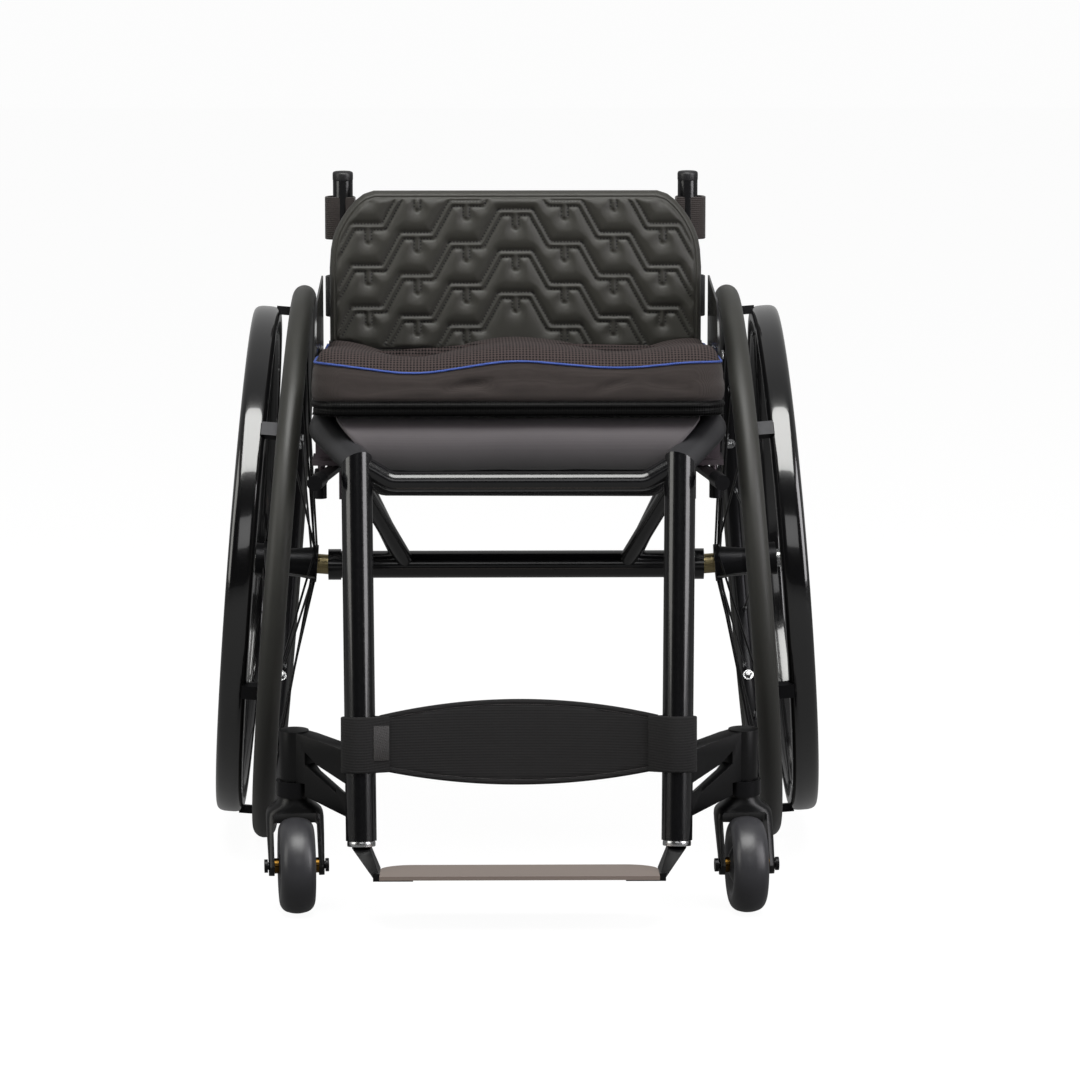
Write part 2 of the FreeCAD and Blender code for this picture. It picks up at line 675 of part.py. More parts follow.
foot_low = foot + front_direction * hanger_plug_length
tongue_middle = footplate_depth / 2
tongue = Part.makeBox(tongue_length, tongue_depth, tongue_thickness,
                      Vector(footplate_half_width - tongue_length, tongue_middle - tongue_depth / 2,
                             -tongue_thickness))
heel = Part.makeBox(foot_blade_thickness, tongue_depth, tongue_thickness + footplate_thickness,
                    Vector(footplate_half_width, tongue_middle - tongue_depth / 2, -tongue_thickness))
heel_top = plate_frame.multVec(Vector(footplate_half_width + foot_blade_thickness / 2, tongue_middle,
                                      footplate_thickness / 2))
blade = Part.makeLoft([rectangle(heel_top, foot_blade_thickness / 2, tongue_depth / 2, heel_top.z),
                       rectangle(foot_low, hanger_neck, hanger_neck, foot_low.z)], True, True)
hanger = hanger_tube.fuse(blade.cut(on_plate(footplate))).fuse([on_plate(tongue), on_plate(heel)])
save("footrest_hangers", *both(hanger.removeSplitter()))

# Calf strap: a loop round each front tube and a broad band between them that widens to the middle
strap_height = 183.0
strap_loop_height = 58.0
strap_band_height = 90.0
strap_thickness = 4.0
strap_sag = 14.0
loop_wall = 4.0
strap_middle = on_front_tube(strap_height)
loop_half = front_direction * (strap_loop_height / 2)
loop_radius = frame_tube_radius + seat_clearance
strap_loop = tube(strap_middle - loop_half, strap_middle + loop_half, loop_radius + loop_wall, loop_radius)
lean = math.degrees(math.atan2(foot_forward - knee_forward, knee_height - foot_height))
band_reach = strap_middle.x - frame_tube_radius - loop_wall
band_start = Vector(-band_reach, 0, 0)
band_middle = Vector(0, strap_sag, 0)
band_end = Vector(band_reach, 0, 0)
back_step = Vector(0, strap_thickness, 0)
band_edges = [Part.Arc(band_start, band_middle, band_end).toShape(),
              Part.LineSegment(band_end, band_end + back_step).toShape(),
              Part.Arc(band_end + back_step, band_middle + back_step, band_start + back_step).toShape(),
              Part.LineSegment(band_start + back_step, band_start).toShape()]
band = Part.Face(Part.Wire(band_edges))
band.translate(Vector(0, 0, -strap_band_height / 2))
band = band.extrude(Vector(0, 0, strap_band_height))
lens_edges = []
for sign in (-1, 1):
    lens_edges.append(Part.Arc(Vector(-sign * band_reach, -strap_height, sign * strap_loop_height / 2),
                               Vector(0, -strap_height, sign * strap_band_height / 2),
                               Vector(sign * band_reach, -strap_height, sign * strap_loop_height / 2)).toShape())
    lens_edges.append(Part.LineSegment(Vector(sign * band_reach, -strap_height, sign * strap_loop_height / 2),
                                       Vector(sign * band_reach, -strap_height,
                                              -sign * strap_loop_height / 2)).toShape())
lens = Part.Face(Part.Wire(lens_edges)).extrude(Vector(0, 2 * strap_height, 0))
band = band.common(lens)
band.rotate(Vector(), Vector(1, 0, 0), -lean)
band.translate(Vector(0, strap_middle.y, strap_height))
calf_strap = band.fuse([strap_loop, mirrored(strap_loop)])
save("calf_strap", coped(calf_strap, both(caster_arm)))

# Seat: a sling over the rails with an apron down to the crossbar, a closed bag under it, and the cushion
sling_thickness = 2.5
sling_overhang = 4.0
sling_rear_length = 56.0
apron_setback_length = 6.0
apron_side_gap = 1.5
rail_slope = (rail_front_height - rail_rear_height) / (rail_front_forward + rail_rear_length)
apron_front_forward = knee_forward - apron_setback_length
apron_top_height = crossbar_height + crossbar_radius + seat_clearance


def seat_height(forward):
    """The height of the rails' top line at a distance in front of the axle."""
    return rail_front_height + (forward - rail_front_forward) * rail_slope + frame_tube_radius + seat_clearance


def side_outline(places):
    """Corner points in the chair's middle plane, from (forward, height) pairs."""
    return [at(0, forward, height) for forward, height in places]


sling_half = rail_half_width + sling_overhang
sling = prism([point - Vector(sling_half, 0, 0) for point in side_outline([
    (rail_front_forward, seat_height(rail_front_forward)),
    (-sling_rear_length, seat_height(-sling_rear_length)),
    (-sling_rear_length, seat_height(-sling_rear_length) + sling_thickness),
    (rail_front_forward, seat_height(rail_front_forward) + sling_thickness)])], Vector(2 * sling_half, 0, 0))
apron_taper = (rail_half_width - knee_half_width) / shoulder_run_length


def apron_section(forward, base):
    """The apron's cross-section, narrow enough to pass between the shoulder tubes."""
    rail_x = rail_half_width - (forward - rail_front_forward) * apron_taper
    half = rail_x - frame_tube_radius - apron_side_gap
    corners = [at(-half, forward, base), at(half, forward, base), at(half, forward, base + sling_thickness),
               at(-half, forward, base + sling_thickness)]
    return Part.makePolygon(corners + corners[:1])


apron_join = rail_front_forward - sling_thickness * 2
apron = Part.makeLoft([apron_section(apron_front_forward, apron_top_height),
                       apron_section(apron_join, seat_height(apron_join))], True, True)
crossbar_room = bent_bar(crossbar_points, crossbar_bend_radius, crossbar_radius + seat_clearance)
rail_room = bent_bar(rail_points, rail_bend_radius, frame_tube_radius + seat_clearance / 2)
save("seat_sling", coped(sling.fuse(apron), [crossbar_room] + both(rail_room)).removeSplitter())

bag_inset_width = 47.0
bag_setback_length = 18.0
bag_rear_forward = 140.0
bag_drop_height = 20.0
bag_rear_rise = 5.0
bag_half_width = rail_half_width - bag_inset_width
bag_front_forward = knee_forward - bag_setback_length
bag_base_height = crossbar_height - bag_drop_height
bag_rear_base_height = bag_base_height + bag_rear_rise
apron_slope = (seat_height(apron_join) - apron_top_height) / (apron_front_forward - apron_join)


def bag_top(forward):
    """The height just under the apron at a distance in front of the axle."""
    return apron_top_height + (apron_front_forward - forward) * apron_slope - body_clearance


bag_outline = side_outline([
    (bag_front_forward, bag_base_height), (bag_front_forward, bag_top(bag_front_forward)),
    (apron_join, bag_top(apron_join)), (bag_rear_forward, seat_height(bag_rear_forward) - body_clearance),
    (bag_rear_forward, bag_rear_base_height)])
bag = prism([point - Vector(bag_half_width, 0, 0) for point in bag_outline], Vector(2 * bag_half_width, 0, 0))
save("under_seat_bag", bag)

# Cushion: crowned, with a hollow for each thigh, sides that draw in and rounded ends
guard_thickness = 2.0
guard_overhang = 9.0
cushion_side_gap = 1.5
guard_setback_length = 66.0
guard_rear_length = 50.0
guard_inner_face = rail_half_width + guard_overhang
guard_front_forward = rail_front_forward - guard_setback_length
cushion_rear_half = guard_inner_face - cushion_side_gap
cushion_length = cushion_front_forward + cushion_rear_length
cushion_base_lift = sling_thickness + seat_clearance
pommel_rise = 7.0
channel_drop = 9.0
flank_rise = 1.0
edge_drop = 12.0
draw_in = 7.0
channel_share = 0.56
turn_shares = (0.28, 0.80)
guard_share = (cushion_front_forward - guard_front_forward - body_clearance) / cushion_length
ramp_share = 0.08
cushion_station_shares = ((0.0, 0.80, 0.047), (0.06, 1.0, 0.009), (guard_share - ramp_share, 1.0, 0.0),
                          (guard_share, 1.0, 0.0), (0.70, 1.0, 0.0), (0.93, 1.0, 0.005), (1.0, 0.74, 0.033))


def cushion_section(length_share, height_share, inset_share):
    """One closed cross-section of the cushion: flat base, drawn-in sides and a waved top."""
    forward = cushion_front_forward - length_share * cushion_length
    half = cushion_rear_half if length_share >= guard_share else cushion_half
    half = half - inset_share * cushion_half
    base = seat_height(forward) + cushion_base_lift
    top = base + cushion_thickness * height_share
    middle = (base + top) / 2

    def point(share, height):
        return at(half * share, forward, height)

    turn_height = top - channel_drop / 2
    outline = [point(-1, top - edge_drop), point(-(1 + turn_shares[1]) / 2, top + flank_rise),
               point(-turn_shares[1], turn_height), point(-channel_share, top - channel_drop),
               point(-turn_shares[0], turn_height), point(0, top + pommel_rise)]
    right_outline = [point(turn_shares[0], turn_height), point(channel_share, top - channel_drop),
                     point(turn_shares[1], turn_height), point((1 + turn_shares[1]) / 2, top + flank_rise),
                     point(1, top - edge_drop)]
    outline = outline + right_outline
    edges = [Part.Arc(outline[i], outline[i + 1], outline[i + 2]).toShape() for i in range(0, 10, 2)]
    foot_right = at(half - draw_in / 2, forward, base)
    foot_left = at(-half + draw_in / 2, forward, base)
    edges.append(Part.Arc(outline[10], at(half - draw_in, forward, middle), foot_right).toShape())
    edges.append(Part.LineSegment(foot_right, foot_left).toShape())
    edges.append(Part.Arc(foot_left, at(-half + draw_in, forward, middle), outline[0]).toShape())
    return Part.Wire(edges)


cushion = Part.makeLoft([cushion_section(*station) for station in cushion_station_shares], True, True)
save("cushion", cushion)

# Side guards: thin upright plates on the rails, with a rounded top front corner
guard_height = 110.0
guard_rear_height = 132.0
guard_corner = 60.0
guard_low = 4.0
front_rail = on_rail(guard_front_forward)
rear_rail = on_rail(-guard_rear_length)
guard_top_front = front_rail.z + frame_tube_radius + guard_height
guard_top_rear = rear_rail.z + frame_tube_radius + guard_rear_height
corner_along = guard_corner * (1 - math.sqrt(0.5))


def guard_point(forward, height):
    return at(guard_inner_face, forward, height)


guard_edges = [
    Part.LineSegment(guard_point(guard_front_forward, front_rail.z + guard_low),
                     guard_point(guard_front_forward, guard_top_front - guard_corner)).toShape(),
    Part.Arc(guard_point(guard_front_forward, guard_top_front - guard_corner),
             guard_point(guard_front_forward - corner_along, guard_top_front - corner_along),
             guard_point(guard_front_forward - guard_corner, guard_top_front)).toShape(),
    Part.LineSegment(guard_point(guard_front_forward - guard_corner, guard_top_front),
                     guard_point(-guard_rear_length, guard_top_rear)).toShape(),
    Part.LineSegment(guard_point(-guard_rear_length, guard_top_rear),
                     guard_point(-guard_rear_length, rear_rail.z + guard_low)).toShape(),
    Part.LineSegment(guard_point(-guard_rear_length, rear_rail.z + guard_low),
                     guard_point(guard_front_forward, front_rail.z + guard_low)).toShape()]
guard = Part.Face(Part.Wire(guard_edges)).extrude(Vector(guard_thickness, 0, 0))
save("side_guards", *both(coped(guard, [rail_bar])))

# Backrest: hinge brackets on the rails, and posts with caps, a bar, the pad and its straps
cheek_thickness = 5.0
cheek_gap = 0.4
bracket_half_length = 10.5
hinge_pin_radius = 4.0
hinge = at(post_half_width, -post_back_length, hinge_height)
cheek_inner = post_half_width - post_radius - cheek_gap - cheek_thickness
cheek_outer = post_half_width + post_radius + cheek_gap
bracket_base = on_rail(-post_back_length).z - frame_tube_radius / 4
bracket_floor = hinge_height - post_radius - body_clearance


def along_hinge(start, end, radius):
    return Part.makeCylinder(radius, end - start, Vector(start, hinge.y, hinge.z), Vector(1, 0, 0))


bracket = Part.makeBox(cheek_outer + cheek_thickness - cheek_inner, 2 * bracket_half_length,
                       hinge_height - bracket_base,
                       Vector(cheek_inner, hinge.y - bracket_half_length, bracket_base))
bracket = bracket.fuse(along_hinge(cheek_inner, cheek_outer + cheek_thickness, bracket_half_length))
post_space = Part.makeBox(cheek_outer - cheek_inner - cheek_thickness, 2 * bracket_half_length + 2 * overrun,
                          2 * post_diameter,
                          Vector(cheek_inner + cheek_thickness, hinge.y - bracket_half_length - overrun,
                                 bracket_floor))
bracket = bracket.cut(post_space)
bracket = bracket.cut(along_hinge(cheek_inner - overrun, cheek_outer + cheek_thickness + overrun, hinge_pin_radius))
save("hinge_brackets", *both(coped(bracket, [rail_bar]).removeSplitter()))
pin_head_radius = 7.0
pin_head_width = 2.5
hinge_pin = along_hinge(cheek_inner, cheek_outer + cheek_thickness, hinge_pin_radius)
hinge_pin = hinge_pin.fuse(along_hinge(cheek_inner - pin_head_width, cheek_inner, pin_head_radius))
hinge_pin = hinge_pin.fuse(along_hinge(cheek_outer + cheek_thickness,
                                       cheek_outer + cheek_thickness + pin_head_width, pin_head_radius))
save("hinge_pins", *both(hinge_pin))

cap_height = 10.0
cap_lip = 1.0
cap_radius = post_radius + cap_lip
post_top = Vector(hinge.x, hinge.y, post_top_height - cap_height)
post = rod(hinge, post_top, post_radius)
post = post.fuse(along_hinge(post_half_width - post_radius, post_half_width + post_radius, post_radius))
post = post.cut(along_hinge(cheek_inner, cheek_outer, hinge_pin_radius + running_clearance))
save("backrest_posts", *both(post))
save("post_caps", *both(rod(post_top, Vector(hinge.x, hinge.y, post_top_height), cap_radius)))

bar_share = 0.523
bar_radius = 8.0
bar_bow = 26.0
post_run_height = post_top_height - hinge_height
bar_height = hinge_height + bar_share * post_run_height
bar_end = Vector(post_half_width, hinge.y, bar_height)
bar_bend = Vector(post_half_width - bar_bow * 1.5, hinge.y + bar_bow, bar_height)
bar_points = [Vector(-bar_end.x, bar_end.y, bar_end.z), Vector(-bar_bend.x, bar_bend.y, bar_bend.z),
              bar_bend, bar_end]
backrest_bar = bent_bar(bar_points, bar_bow, bar_radius)
post_core = rod(hinge, post_top, post_radius)
save("backrest_bar", coped(backrest_bar, both(post_core)))

# The pad's outline: half widths as shares of the widest, at shares of its height from the top down
pad_base_gap = 12.0
pad_base_height = hinge_height + pad_base_gap
pad_outline_shares = ((0.76, 0.0), (0.815, 0.02), (0.90, 0.12), (0.965, 0.25), (0.99, 0.36), (1.0, 0.50),
                      (1.0, 0.93), (0.97, 1.0))
pad_back = hinge.y - post_radius - seat_clearance
pad_station_shares = ((0.0, 0.02), (0.35, 0.0), (0.75, 0.007), (1.0, 0.044))


def pad_section(depth_share, inset_share):
    """The pad's outline at one depth from its back, drawn in towards its edges."""
    inset = inset_share * pad_half_width
    y = pad_back - depth_share * pad_thickness
    height = pad_top_height - pad_base_height
    right = []
    for width_share, drop_share in pad_outline_shares:
        z = pad_top_height - drop_share * height
        z = min(max(z, pad_base_height + inset), pad_top_height - inset)
        right.append(Vector(width_share * pad_half_width - inset, y, z))
    left = [Vector(-point.x, y, point.z) for point in reversed(right)]
    corners = right + left
    return Part.makePolygon(corners + corners[:1])


pad = Part.makeLoft([pad_section(*station) for station in pad_station_shares], True, True)
save("backrest_pad", pad)

strap_band_shares = ((0.859, 0.623), (0.417, 0.191))
strap_reach_out = 20.5
strap_reach_in = 14.0
strap_wall = 3.5
strap_depth = 2 * post_radius + strap_wall + 2 * seat_clearance
strap_solids = []
for top_share, base_share in strap_band_shares:
    block = Part.makeBox(strap_reach_out + strap_reach_in, strap_depth, (top_share - base_share) * post_run_height,
                         Vector(post_half_width - strap_reach_in, pad_back + seat_clearance,
                                hinge_height + base_share * post_run_height))
    strap_solids += both(block.cut(rod(hinge, post_top, post_radius + seat_clearance)))
save("backrest_straps", *strap_solids)

# Brakes: under each rail a bracket with two upright pins, one for the hand lever and one for the shoe arm
brake_drop_height = 31.0
brake_plate_thickness = 5.0
brake_plate_top = rail_front_height - brake_drop_height
brake_plate_low = brake_plate_top - brake_plate_thickness
link_thickness = 5.0
link_gap = 1.5
link_half_width = 7.0
lever_pin_inset_width = 11.0
lever_pin_setback_length = 39.0
arm_pin_outset_width = 3.0
arm_pin_setback_length = 59.0
lever_pin = at(rail_half_width - lever_pin_inset_width, tyre_radius - lever_pin_setback_length, 0)
arm_pin = at(rail_half_width + arm_pin_outset_width, tyre_radius - arm_pin_setback_length, 0)
brake_pin_radius = 4.0
lever_top = brake_plate_low - link_gap
lever_low = lever_top - link_thickness
arm_top = lever_low - link_gap
arm_low = arm_top - link_thickness
shoe_radius = 7.0
shoe_length = 22.0
lever_length = 86.0
lever_rest_angle = -80.0
grip_radius = 8.0
grip_length = 30.0
arm_rest_angle = -90.0
shoe_inset_width = 15.0
shoe_locked_x = half_track - shoe_inset_width
shoe_low = arm_top - shoe_length
tyre_front_reach = math.sqrt(tyre_radius ** 2 - (shoe_low - hub_height) ** 2)
shoe_locked = at(shoe_locked_x, tyre_front_reach + shoe_radius + body_clearance, 0)
arm_length = (shoe_locked - arm_pin).Length
arm_locked_angle = math.degrees(math.atan2(shoe_locked.y - arm_pin.y, shoe_locked.x - arm_pin.x))


def raised(point, z):
    return Vector(point.x, point.y, z)


def pillar(point, low, high, radius):
    """An upright cylinder between two heights."""
    return Part.makeCylinder(radius, high - low, raised(point, low), Vector(0, 0, 1))


def link(pivot, length, angle, low, high):
    """A flat bar with a round eye on its pivot and a round far end."""
    far = pivot + Vector(length * math.cos(math.radians(angle)), length * math.sin(math.radians(angle)), 0)
    bar = Part.makeBox(length, 2 * link_half_width, high - low, Vector(0, -link_half_width, 0))
    bar.rotate(Vector(), Vector(0, 0, 1), angle)
    bar.translate(raised(pivot, low))
    bar = bar.fuse([pillar(pivot, low, high, link_half_width), pillar(far, low, high, link_half_width)])
    return bar.cut(pillar(pivot, low - overrun, high + overrun, brake_pin_radius + running_clearance)), far


plate_lip = 2.0
stop_length = 14.0
stop_height = 42.0
stop_thickness = 5.0
nut_radius = 6.5
nut_height = 4.0
plate_margin = link_half_width + plate_lip
plate_start = Vector(lever_pin.x - plate_margin, lever_pin.y - plate_margin, brake_plate_low)
mount_width = arm_pin.x - lever_pin.x + 2 * plate_margin
mount_depth = arm_pin.y - lever_pin.y + 2 * plate_margin + stop_length
brake_plate = Part.makeBox(mount_width, mount_depth, brake_plate_thickness, plate_start)
stop_start = Vector(plate_start.x, arm_pin.y + plate_margin, brake_plate_low - stop_height)
stop_plate = Part.makeBox(stop_thickness, stop_length, stop_height, stop_start)
nut_top = arm_low - seat_clearance
saddle_half = 9.0
saddle_centre = on_rail(axle_y - arm_pin.y)
saddle = Part.makeBox(2 * saddle_half, 2 * saddle_half, saddle_centre.z - brake_plate_top,
                      Vector(saddle_centre.x - saddle_half, saddle_centre.y - saddle_half, brake_plate_top))
brake_mount = brake_plate.fuse([saddle, stop_plate,
                                pillar(lever_pin, lever_low, brake_plate_low, brake_pin_radius),
                                pillar(arm_pin, nut_top, brake_plate_low, brake_pin_radius),
                                pillar(arm_pin, nut_top - nut_height, nut_top, nut_radius)])
save("brake_mounts", *both(coped(brake_mount, [rail_bar]).removeSplitter()))

brake_lever, lever_end = link(lever_pin, lever_length, lever_rest_angle, lever_low, lever_top)
grip_direction = Vector(math.cos(math.radians(lever_rest_angle)), math.sin(math.radians(lever_rest_angle)), 0)
grip_start = raised(lever_end, (lever_low + lever_top) / 2) - grip_direction * (grip_length / 2)
brake_grip = rod(grip_start, grip_start + grip_direction * grip_length, grip_radius)
save_pair("brake_lever", brake_lever.fuse(brake_grip).removeSplitter())

brake_arm, shoe_place = link(arm_pin, arm_length, arm_rest_angle, arm_low, arm_top)
save_pair("brake_arm", brake_arm.fuse(pillar(shoe_place, shoe_low, arm_top, shoe_radius)).removeSplitter())
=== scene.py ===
import math

import bmesh
import bpy
import numpy as np
from mathutils import Matrix, Vector, noise


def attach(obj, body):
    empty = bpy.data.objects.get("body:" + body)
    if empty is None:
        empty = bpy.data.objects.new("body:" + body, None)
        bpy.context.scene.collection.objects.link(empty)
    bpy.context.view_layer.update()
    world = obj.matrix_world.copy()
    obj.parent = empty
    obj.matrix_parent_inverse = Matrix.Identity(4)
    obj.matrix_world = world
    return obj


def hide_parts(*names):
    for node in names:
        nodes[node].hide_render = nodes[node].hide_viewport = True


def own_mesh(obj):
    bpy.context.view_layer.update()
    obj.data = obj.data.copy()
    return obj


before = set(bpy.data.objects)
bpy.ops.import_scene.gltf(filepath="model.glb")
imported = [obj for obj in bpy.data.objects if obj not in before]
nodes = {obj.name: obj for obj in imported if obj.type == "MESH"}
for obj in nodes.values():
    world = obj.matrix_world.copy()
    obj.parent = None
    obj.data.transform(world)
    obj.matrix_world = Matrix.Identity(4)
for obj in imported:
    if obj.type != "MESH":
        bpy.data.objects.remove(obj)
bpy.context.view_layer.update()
scene = bpy.context.scene
scene.view_settings.view_transform = "Standard"


# Studio. A long lens in front of the chair and a little above it, on a white floor in a white room.
# The room is dark behind the camera, as it was for the photograph, so gloss black stays black. Places and
# sizes are in metres, turns in degrees and lamp strengths in watts.
CAMERA_PLACE = (-0.0395, -5.4135, 1.3000)
CAMERA_DIP = 10.03
CAMERA_TURN = -0.686
LENS = 168.83
SENSOR = 36
ROOM_DARK = 0.015
ROOM_PALE = 0.34
ROOM_SEEN = 0.978
FLOOR_REACH = 9
FLOOR_GREY = 0.09
FLOOR_SEEN = 0.95
FLOOR_MIRRORED = 0.12
LAMP_AIM = (0, -0.25, 0.60)


def placed(name, data):
    """A new object in the scene."""
    added = bpy.data.objects.new(name, data)
    scene.collection.objects.link(added)
    return added


def shader_node(tree, kind, values):
    """Adds a node. Each value goes to a setting or a socket, and a (node, output) pair is linked."""
    added = tree.nodes.new("ShaderNode" + kind)
    for name, value in values.items():
        if isinstance(value, tuple) and isinstance(value[0], bpy.types.Node):
            tree.links.new(value[0].outputs[value[1]], added.inputs[name])
        elif isinstance(name, str) and name not in added.inputs:
            setattr(added, name, value)
        else:
            added.inputs[name].default_value = value
    return added


def blank_material(name):
    """A material without nodes, and its node tree."""
    material = bpy.data.materials.new(name)
    material.use_nodes = True
    material.node_tree.nodes.clear()
    return material, material.node_tree


camera = placed("camera", bpy.data.cameras.new("camera"))
camera.location = CAMERA_PLACE
camera.rotation_euler = (math.radians(90 - CAMERA_DIP), 0, math.radians(CAMERA_TURN))
camera.data.sensor_width = SENSOR
camera.data.lens = LENS
scene.camera = camera

world = bpy.data.worlds.new("room")
scene.world = world
world.use_nodes = True
tree = world.node_tree
tree.nodes.clear()
direction = shader_node(tree, "TexCoord", {})
split = shader_node(tree, "SeparateXYZ", {0: (direction, "Generated")})
behind = shader_node(tree, "MapRange", {"Value": (split, "Y"), "From Min": -0.75, "From Max": 0.35,
                                        "To Min": ROOM_DARK, "To Max": ROOM_PALE})
path_kind = shader_node(tree, "LightPath", {})
strength = shader_node(tree, "Mix", {"data_type": "FLOAT", 0: (path_kind, "Is Camera Ray"),
                                     2: (behind, "Result"), 3: ROOM_SEEN})
background = shader_node(tree, "Background", {"Color": (1, 1, 1, 1), "Strength": (strength, 0)})
shader_node(tree, "OutputWorld", {"Surface": (background, 0)})

floor_mesh = bpy.data.meshes.new("floor")
floor_corners = [(x * FLOOR_REACH, y * FLOOR_REACH, 0) for x, y in ((-1, -1), (1, -1), (1, 1), (-1, 1))]
floor_mesh.from_pydata(floor_corners, [], [(0, 1, 2, 3)])
floor = placed("floor", floor_mesh)
floor_paper, tree = blank_material("white_paper_floor")
seen = shader_node(tree, "LightPath", {})
lit = shader_node(tree, "BsdfDiffuse", {"Color": (FLOOR_GREY, FLOOR_GREY, FLOOR_GREY, 1)})
mirrored = shader_node(tree, "Math", {"operation": "MAXIMUM", 0: (seen, "Is Glossy Ray"),
                                      1: (seen, "Is Transmission Ray")})
mirrored = shader_node(tree, "Math", {"operation": "MULTIPLY", 0: (mirrored, 0), 1: FLOOR_MIRRORED})
glow_level = shader_node(tree, "Math", {"operation": "MAXIMUM", 0: (mirrored, 0), 1: (seen, "Is Camera Ray")})
glow_level = shader_node(tree, "Math", {"operation": "MULTIPLY", 0: (glow_level, 0), 1: FLOOR_SEEN})
glow = shader_node(tree, "Emission", {"Color": (1, 1, 1, 1), "Strength": (glow_level, 0)})
floor_sum = shader_node(tree, "AddShader", {0: (lit, 0), 1: (glow, 0)})
shader_node(tree, "OutputMaterial", {"Surface": (floor_sum, 0)})
floor_mesh.materials.append(floor_paper)

for label, place, aim, width, height, watts, tint in (
        ("side_box_left", (-2.50, -1.26, 1.42), LAMP_AIM, 1.55, 2.2, 27, (1.0, 0.99, 0.94)),
        ("side_box_right", (2.34, -1.60, 1.42), LAMP_AIM, 1.55, 2.2, 52, (0.99, 0.97, 1.0)),
        ("overhead_box", (0, -1.36, 2.9), (0, -1.36, 0), 2.4, 1.80, 112, (1.0, 1.0, 0.98)),
        ("front_fill", (0.2, -4.6, 2.15), (0, 0, 0.45), 2.2, 1.2, 11, (1.0, 1.0, 1.0))):
    lamp_data = bpy.data.lights.new(label, "AREA")
    lamp_data.shape = "RECTANGLE"
    lamp_data.size = width
    lamp_data.size_y = height
    lamp_data.energy = watts
    lamp_data.color = tint
    lamp = placed(label, lamp_data)
    lamp.location = place
    lamp.rotation_euler = (Vector(aim) - Vector(place)).to_track_quat("-Z", "Y").to_euler()


# Rear tyres. Matte high-pressure rubber tyres with a smooth crown, moulded and seated on the rims,
# which lean in at the top by the camber. The rubber is a dark olive grey with a broad soft sheen.
CAMBER = math.radians(4.5)
TYRE_CENTRE = 0.29257
TYRE_ROUND = 0.01243
TYRE_GAP = 88
AXLE = Vector((0.2550, 0.0865, TYRE_CENTRE * math.cos(CAMBER) + TYRE_ROUND))
SIDES = {"left": -1, "right": 1}
lean = {side: Matrix.Translation((k * AXLE.x, AXLE.y, AXLE.z)) @ Matrix.Diagonal((k, 1, 1, 1))
        @ Matrix.Rotation(-CAMBER, 4, "Y") for side, k in SIDES.items()}


def linear(hex_code):
    """The linear colour of an sRGB hex value."""
    parts = [int(hex_code[i:i + 2], 16) / 255 for i in (0, 2, 4)]
    return tuple(p / 12.92 if p <= 0.04045 else ((p + 0.055) / 1.055) ** 2.4 for p in parts) + (1.0,)


def coat(tree, values):
    """Ends a material's nodes with one principled shader."""
    surface = shader_node(tree, "BsdfPrincipled", values)
    shader_node(tree, "OutputMaterial", {"Surface": (surface, 0)})


def angles(steps):
    """Evenly spaced angles round a full turn."""
    return [2 * math.pi * i / steps for i in range(steps)]


def skin(rings, loop=False):
    """A surface through rings of equal count. Its ends are closed, or loop joins the last to the first."""
    count = len(rings[0])
    points = [point for ring in rings for point in ring]
    faces = []
    for i in range(len(rings) if loop else len(rings) - 1):
        low, high = i * count, (i + 1) % len(rings) * count
        faces += [(low + j, low + (j + 1) % count, high + (j + 1) % count, high + j) for j in range(count)]
    if not loop:
        faces += [tuple(range(count)), tuple(range(len(points) - count, len(points)))]
    return points, faces


def mesh_of(name, shape, place=Matrix()):
    """A mesh of a shape's points and faces, with its normals turned outward."""
    points, faces = shape
    mesh = bpy.data.meshes.new(name)
    mesh.from_pydata([place @ Vector(point) for point in points], [], faces)
    grid = bmesh.new()
    grid.from_mesh(mesh)
    bmesh.ops.recalc_face_normals(grid, faces=grid.faces)
    grid.to_mesh(mesh)
    grid.free()
    return mesh


def make(name, shape, material, body, place=Matrix(), replaced=(), crease=40):
    """A mesh piece in the chair's frame that rides on a body. Edges sharper than crease stay sharp."""
    mesh = mesh_of(name, shape, place)
    mesh.polygons.foreach_set("use_smooth", [True] * len(mesh.polygons))
    mesh.set_sharp_from_angle(angle=math.radians(crease))
    mesh.materials.append(material)
    piece = placed(name, mesh)
    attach(piece, body)
    if replaced:
        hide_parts(*replaced)
    return piece


def turned(profile, steps=256):
    """A closed (along the axle, radius) profile turned about the wheel's axis."""
    return skin([[Vector((x, r * math.sin(t), r * math.cos(t))) for x, r in profile] for t in angles(steps)],
                loop=True)


# The moulded surface has a grain of 1.1 mm and hand-wide patches that are a little paler and duller.
tyre_rubber, tree = blank_material("vulcanised_rubber_tyre")
place = shader_node(tree, "TexCoord", {})
grain = shader_node(tree, "TexNoise", {"Vector": (place, "Object"), "Scale": 1000 / 1.11, "Detail": 2.0})
patches = shader_node(tree, "TexNoise", {"Vector": (place, "Object"), "Scale": 1000 / 111, "Detail": 3.0})
shade = shader_node(tree, "Mix", {"data_type": "RGBA", "Factor": (patches, "Fac"),
                                  6: linear("242421"), 7: linear("2f2f2b")})
dull = shader_node(tree, "MapRange", {"Value": (patches, "Fac"), "From Min": 0.3, "From Max": 0.7,
                                      "To Min": 0.44, "To Max": 0.56})
relief = shader_node(tree, "Bump", {"Height": (grain, "Fac"), "Strength": 0.15, "Distance": 0.0004})
coat(tree, {"Base Color": (shade, 2), "Roughness": (dull, 0), "Normal": (relief, 0), "IOR": 1.5,
            "Sheen Weight": 0.08, "Sheen Roughness": 0.4})

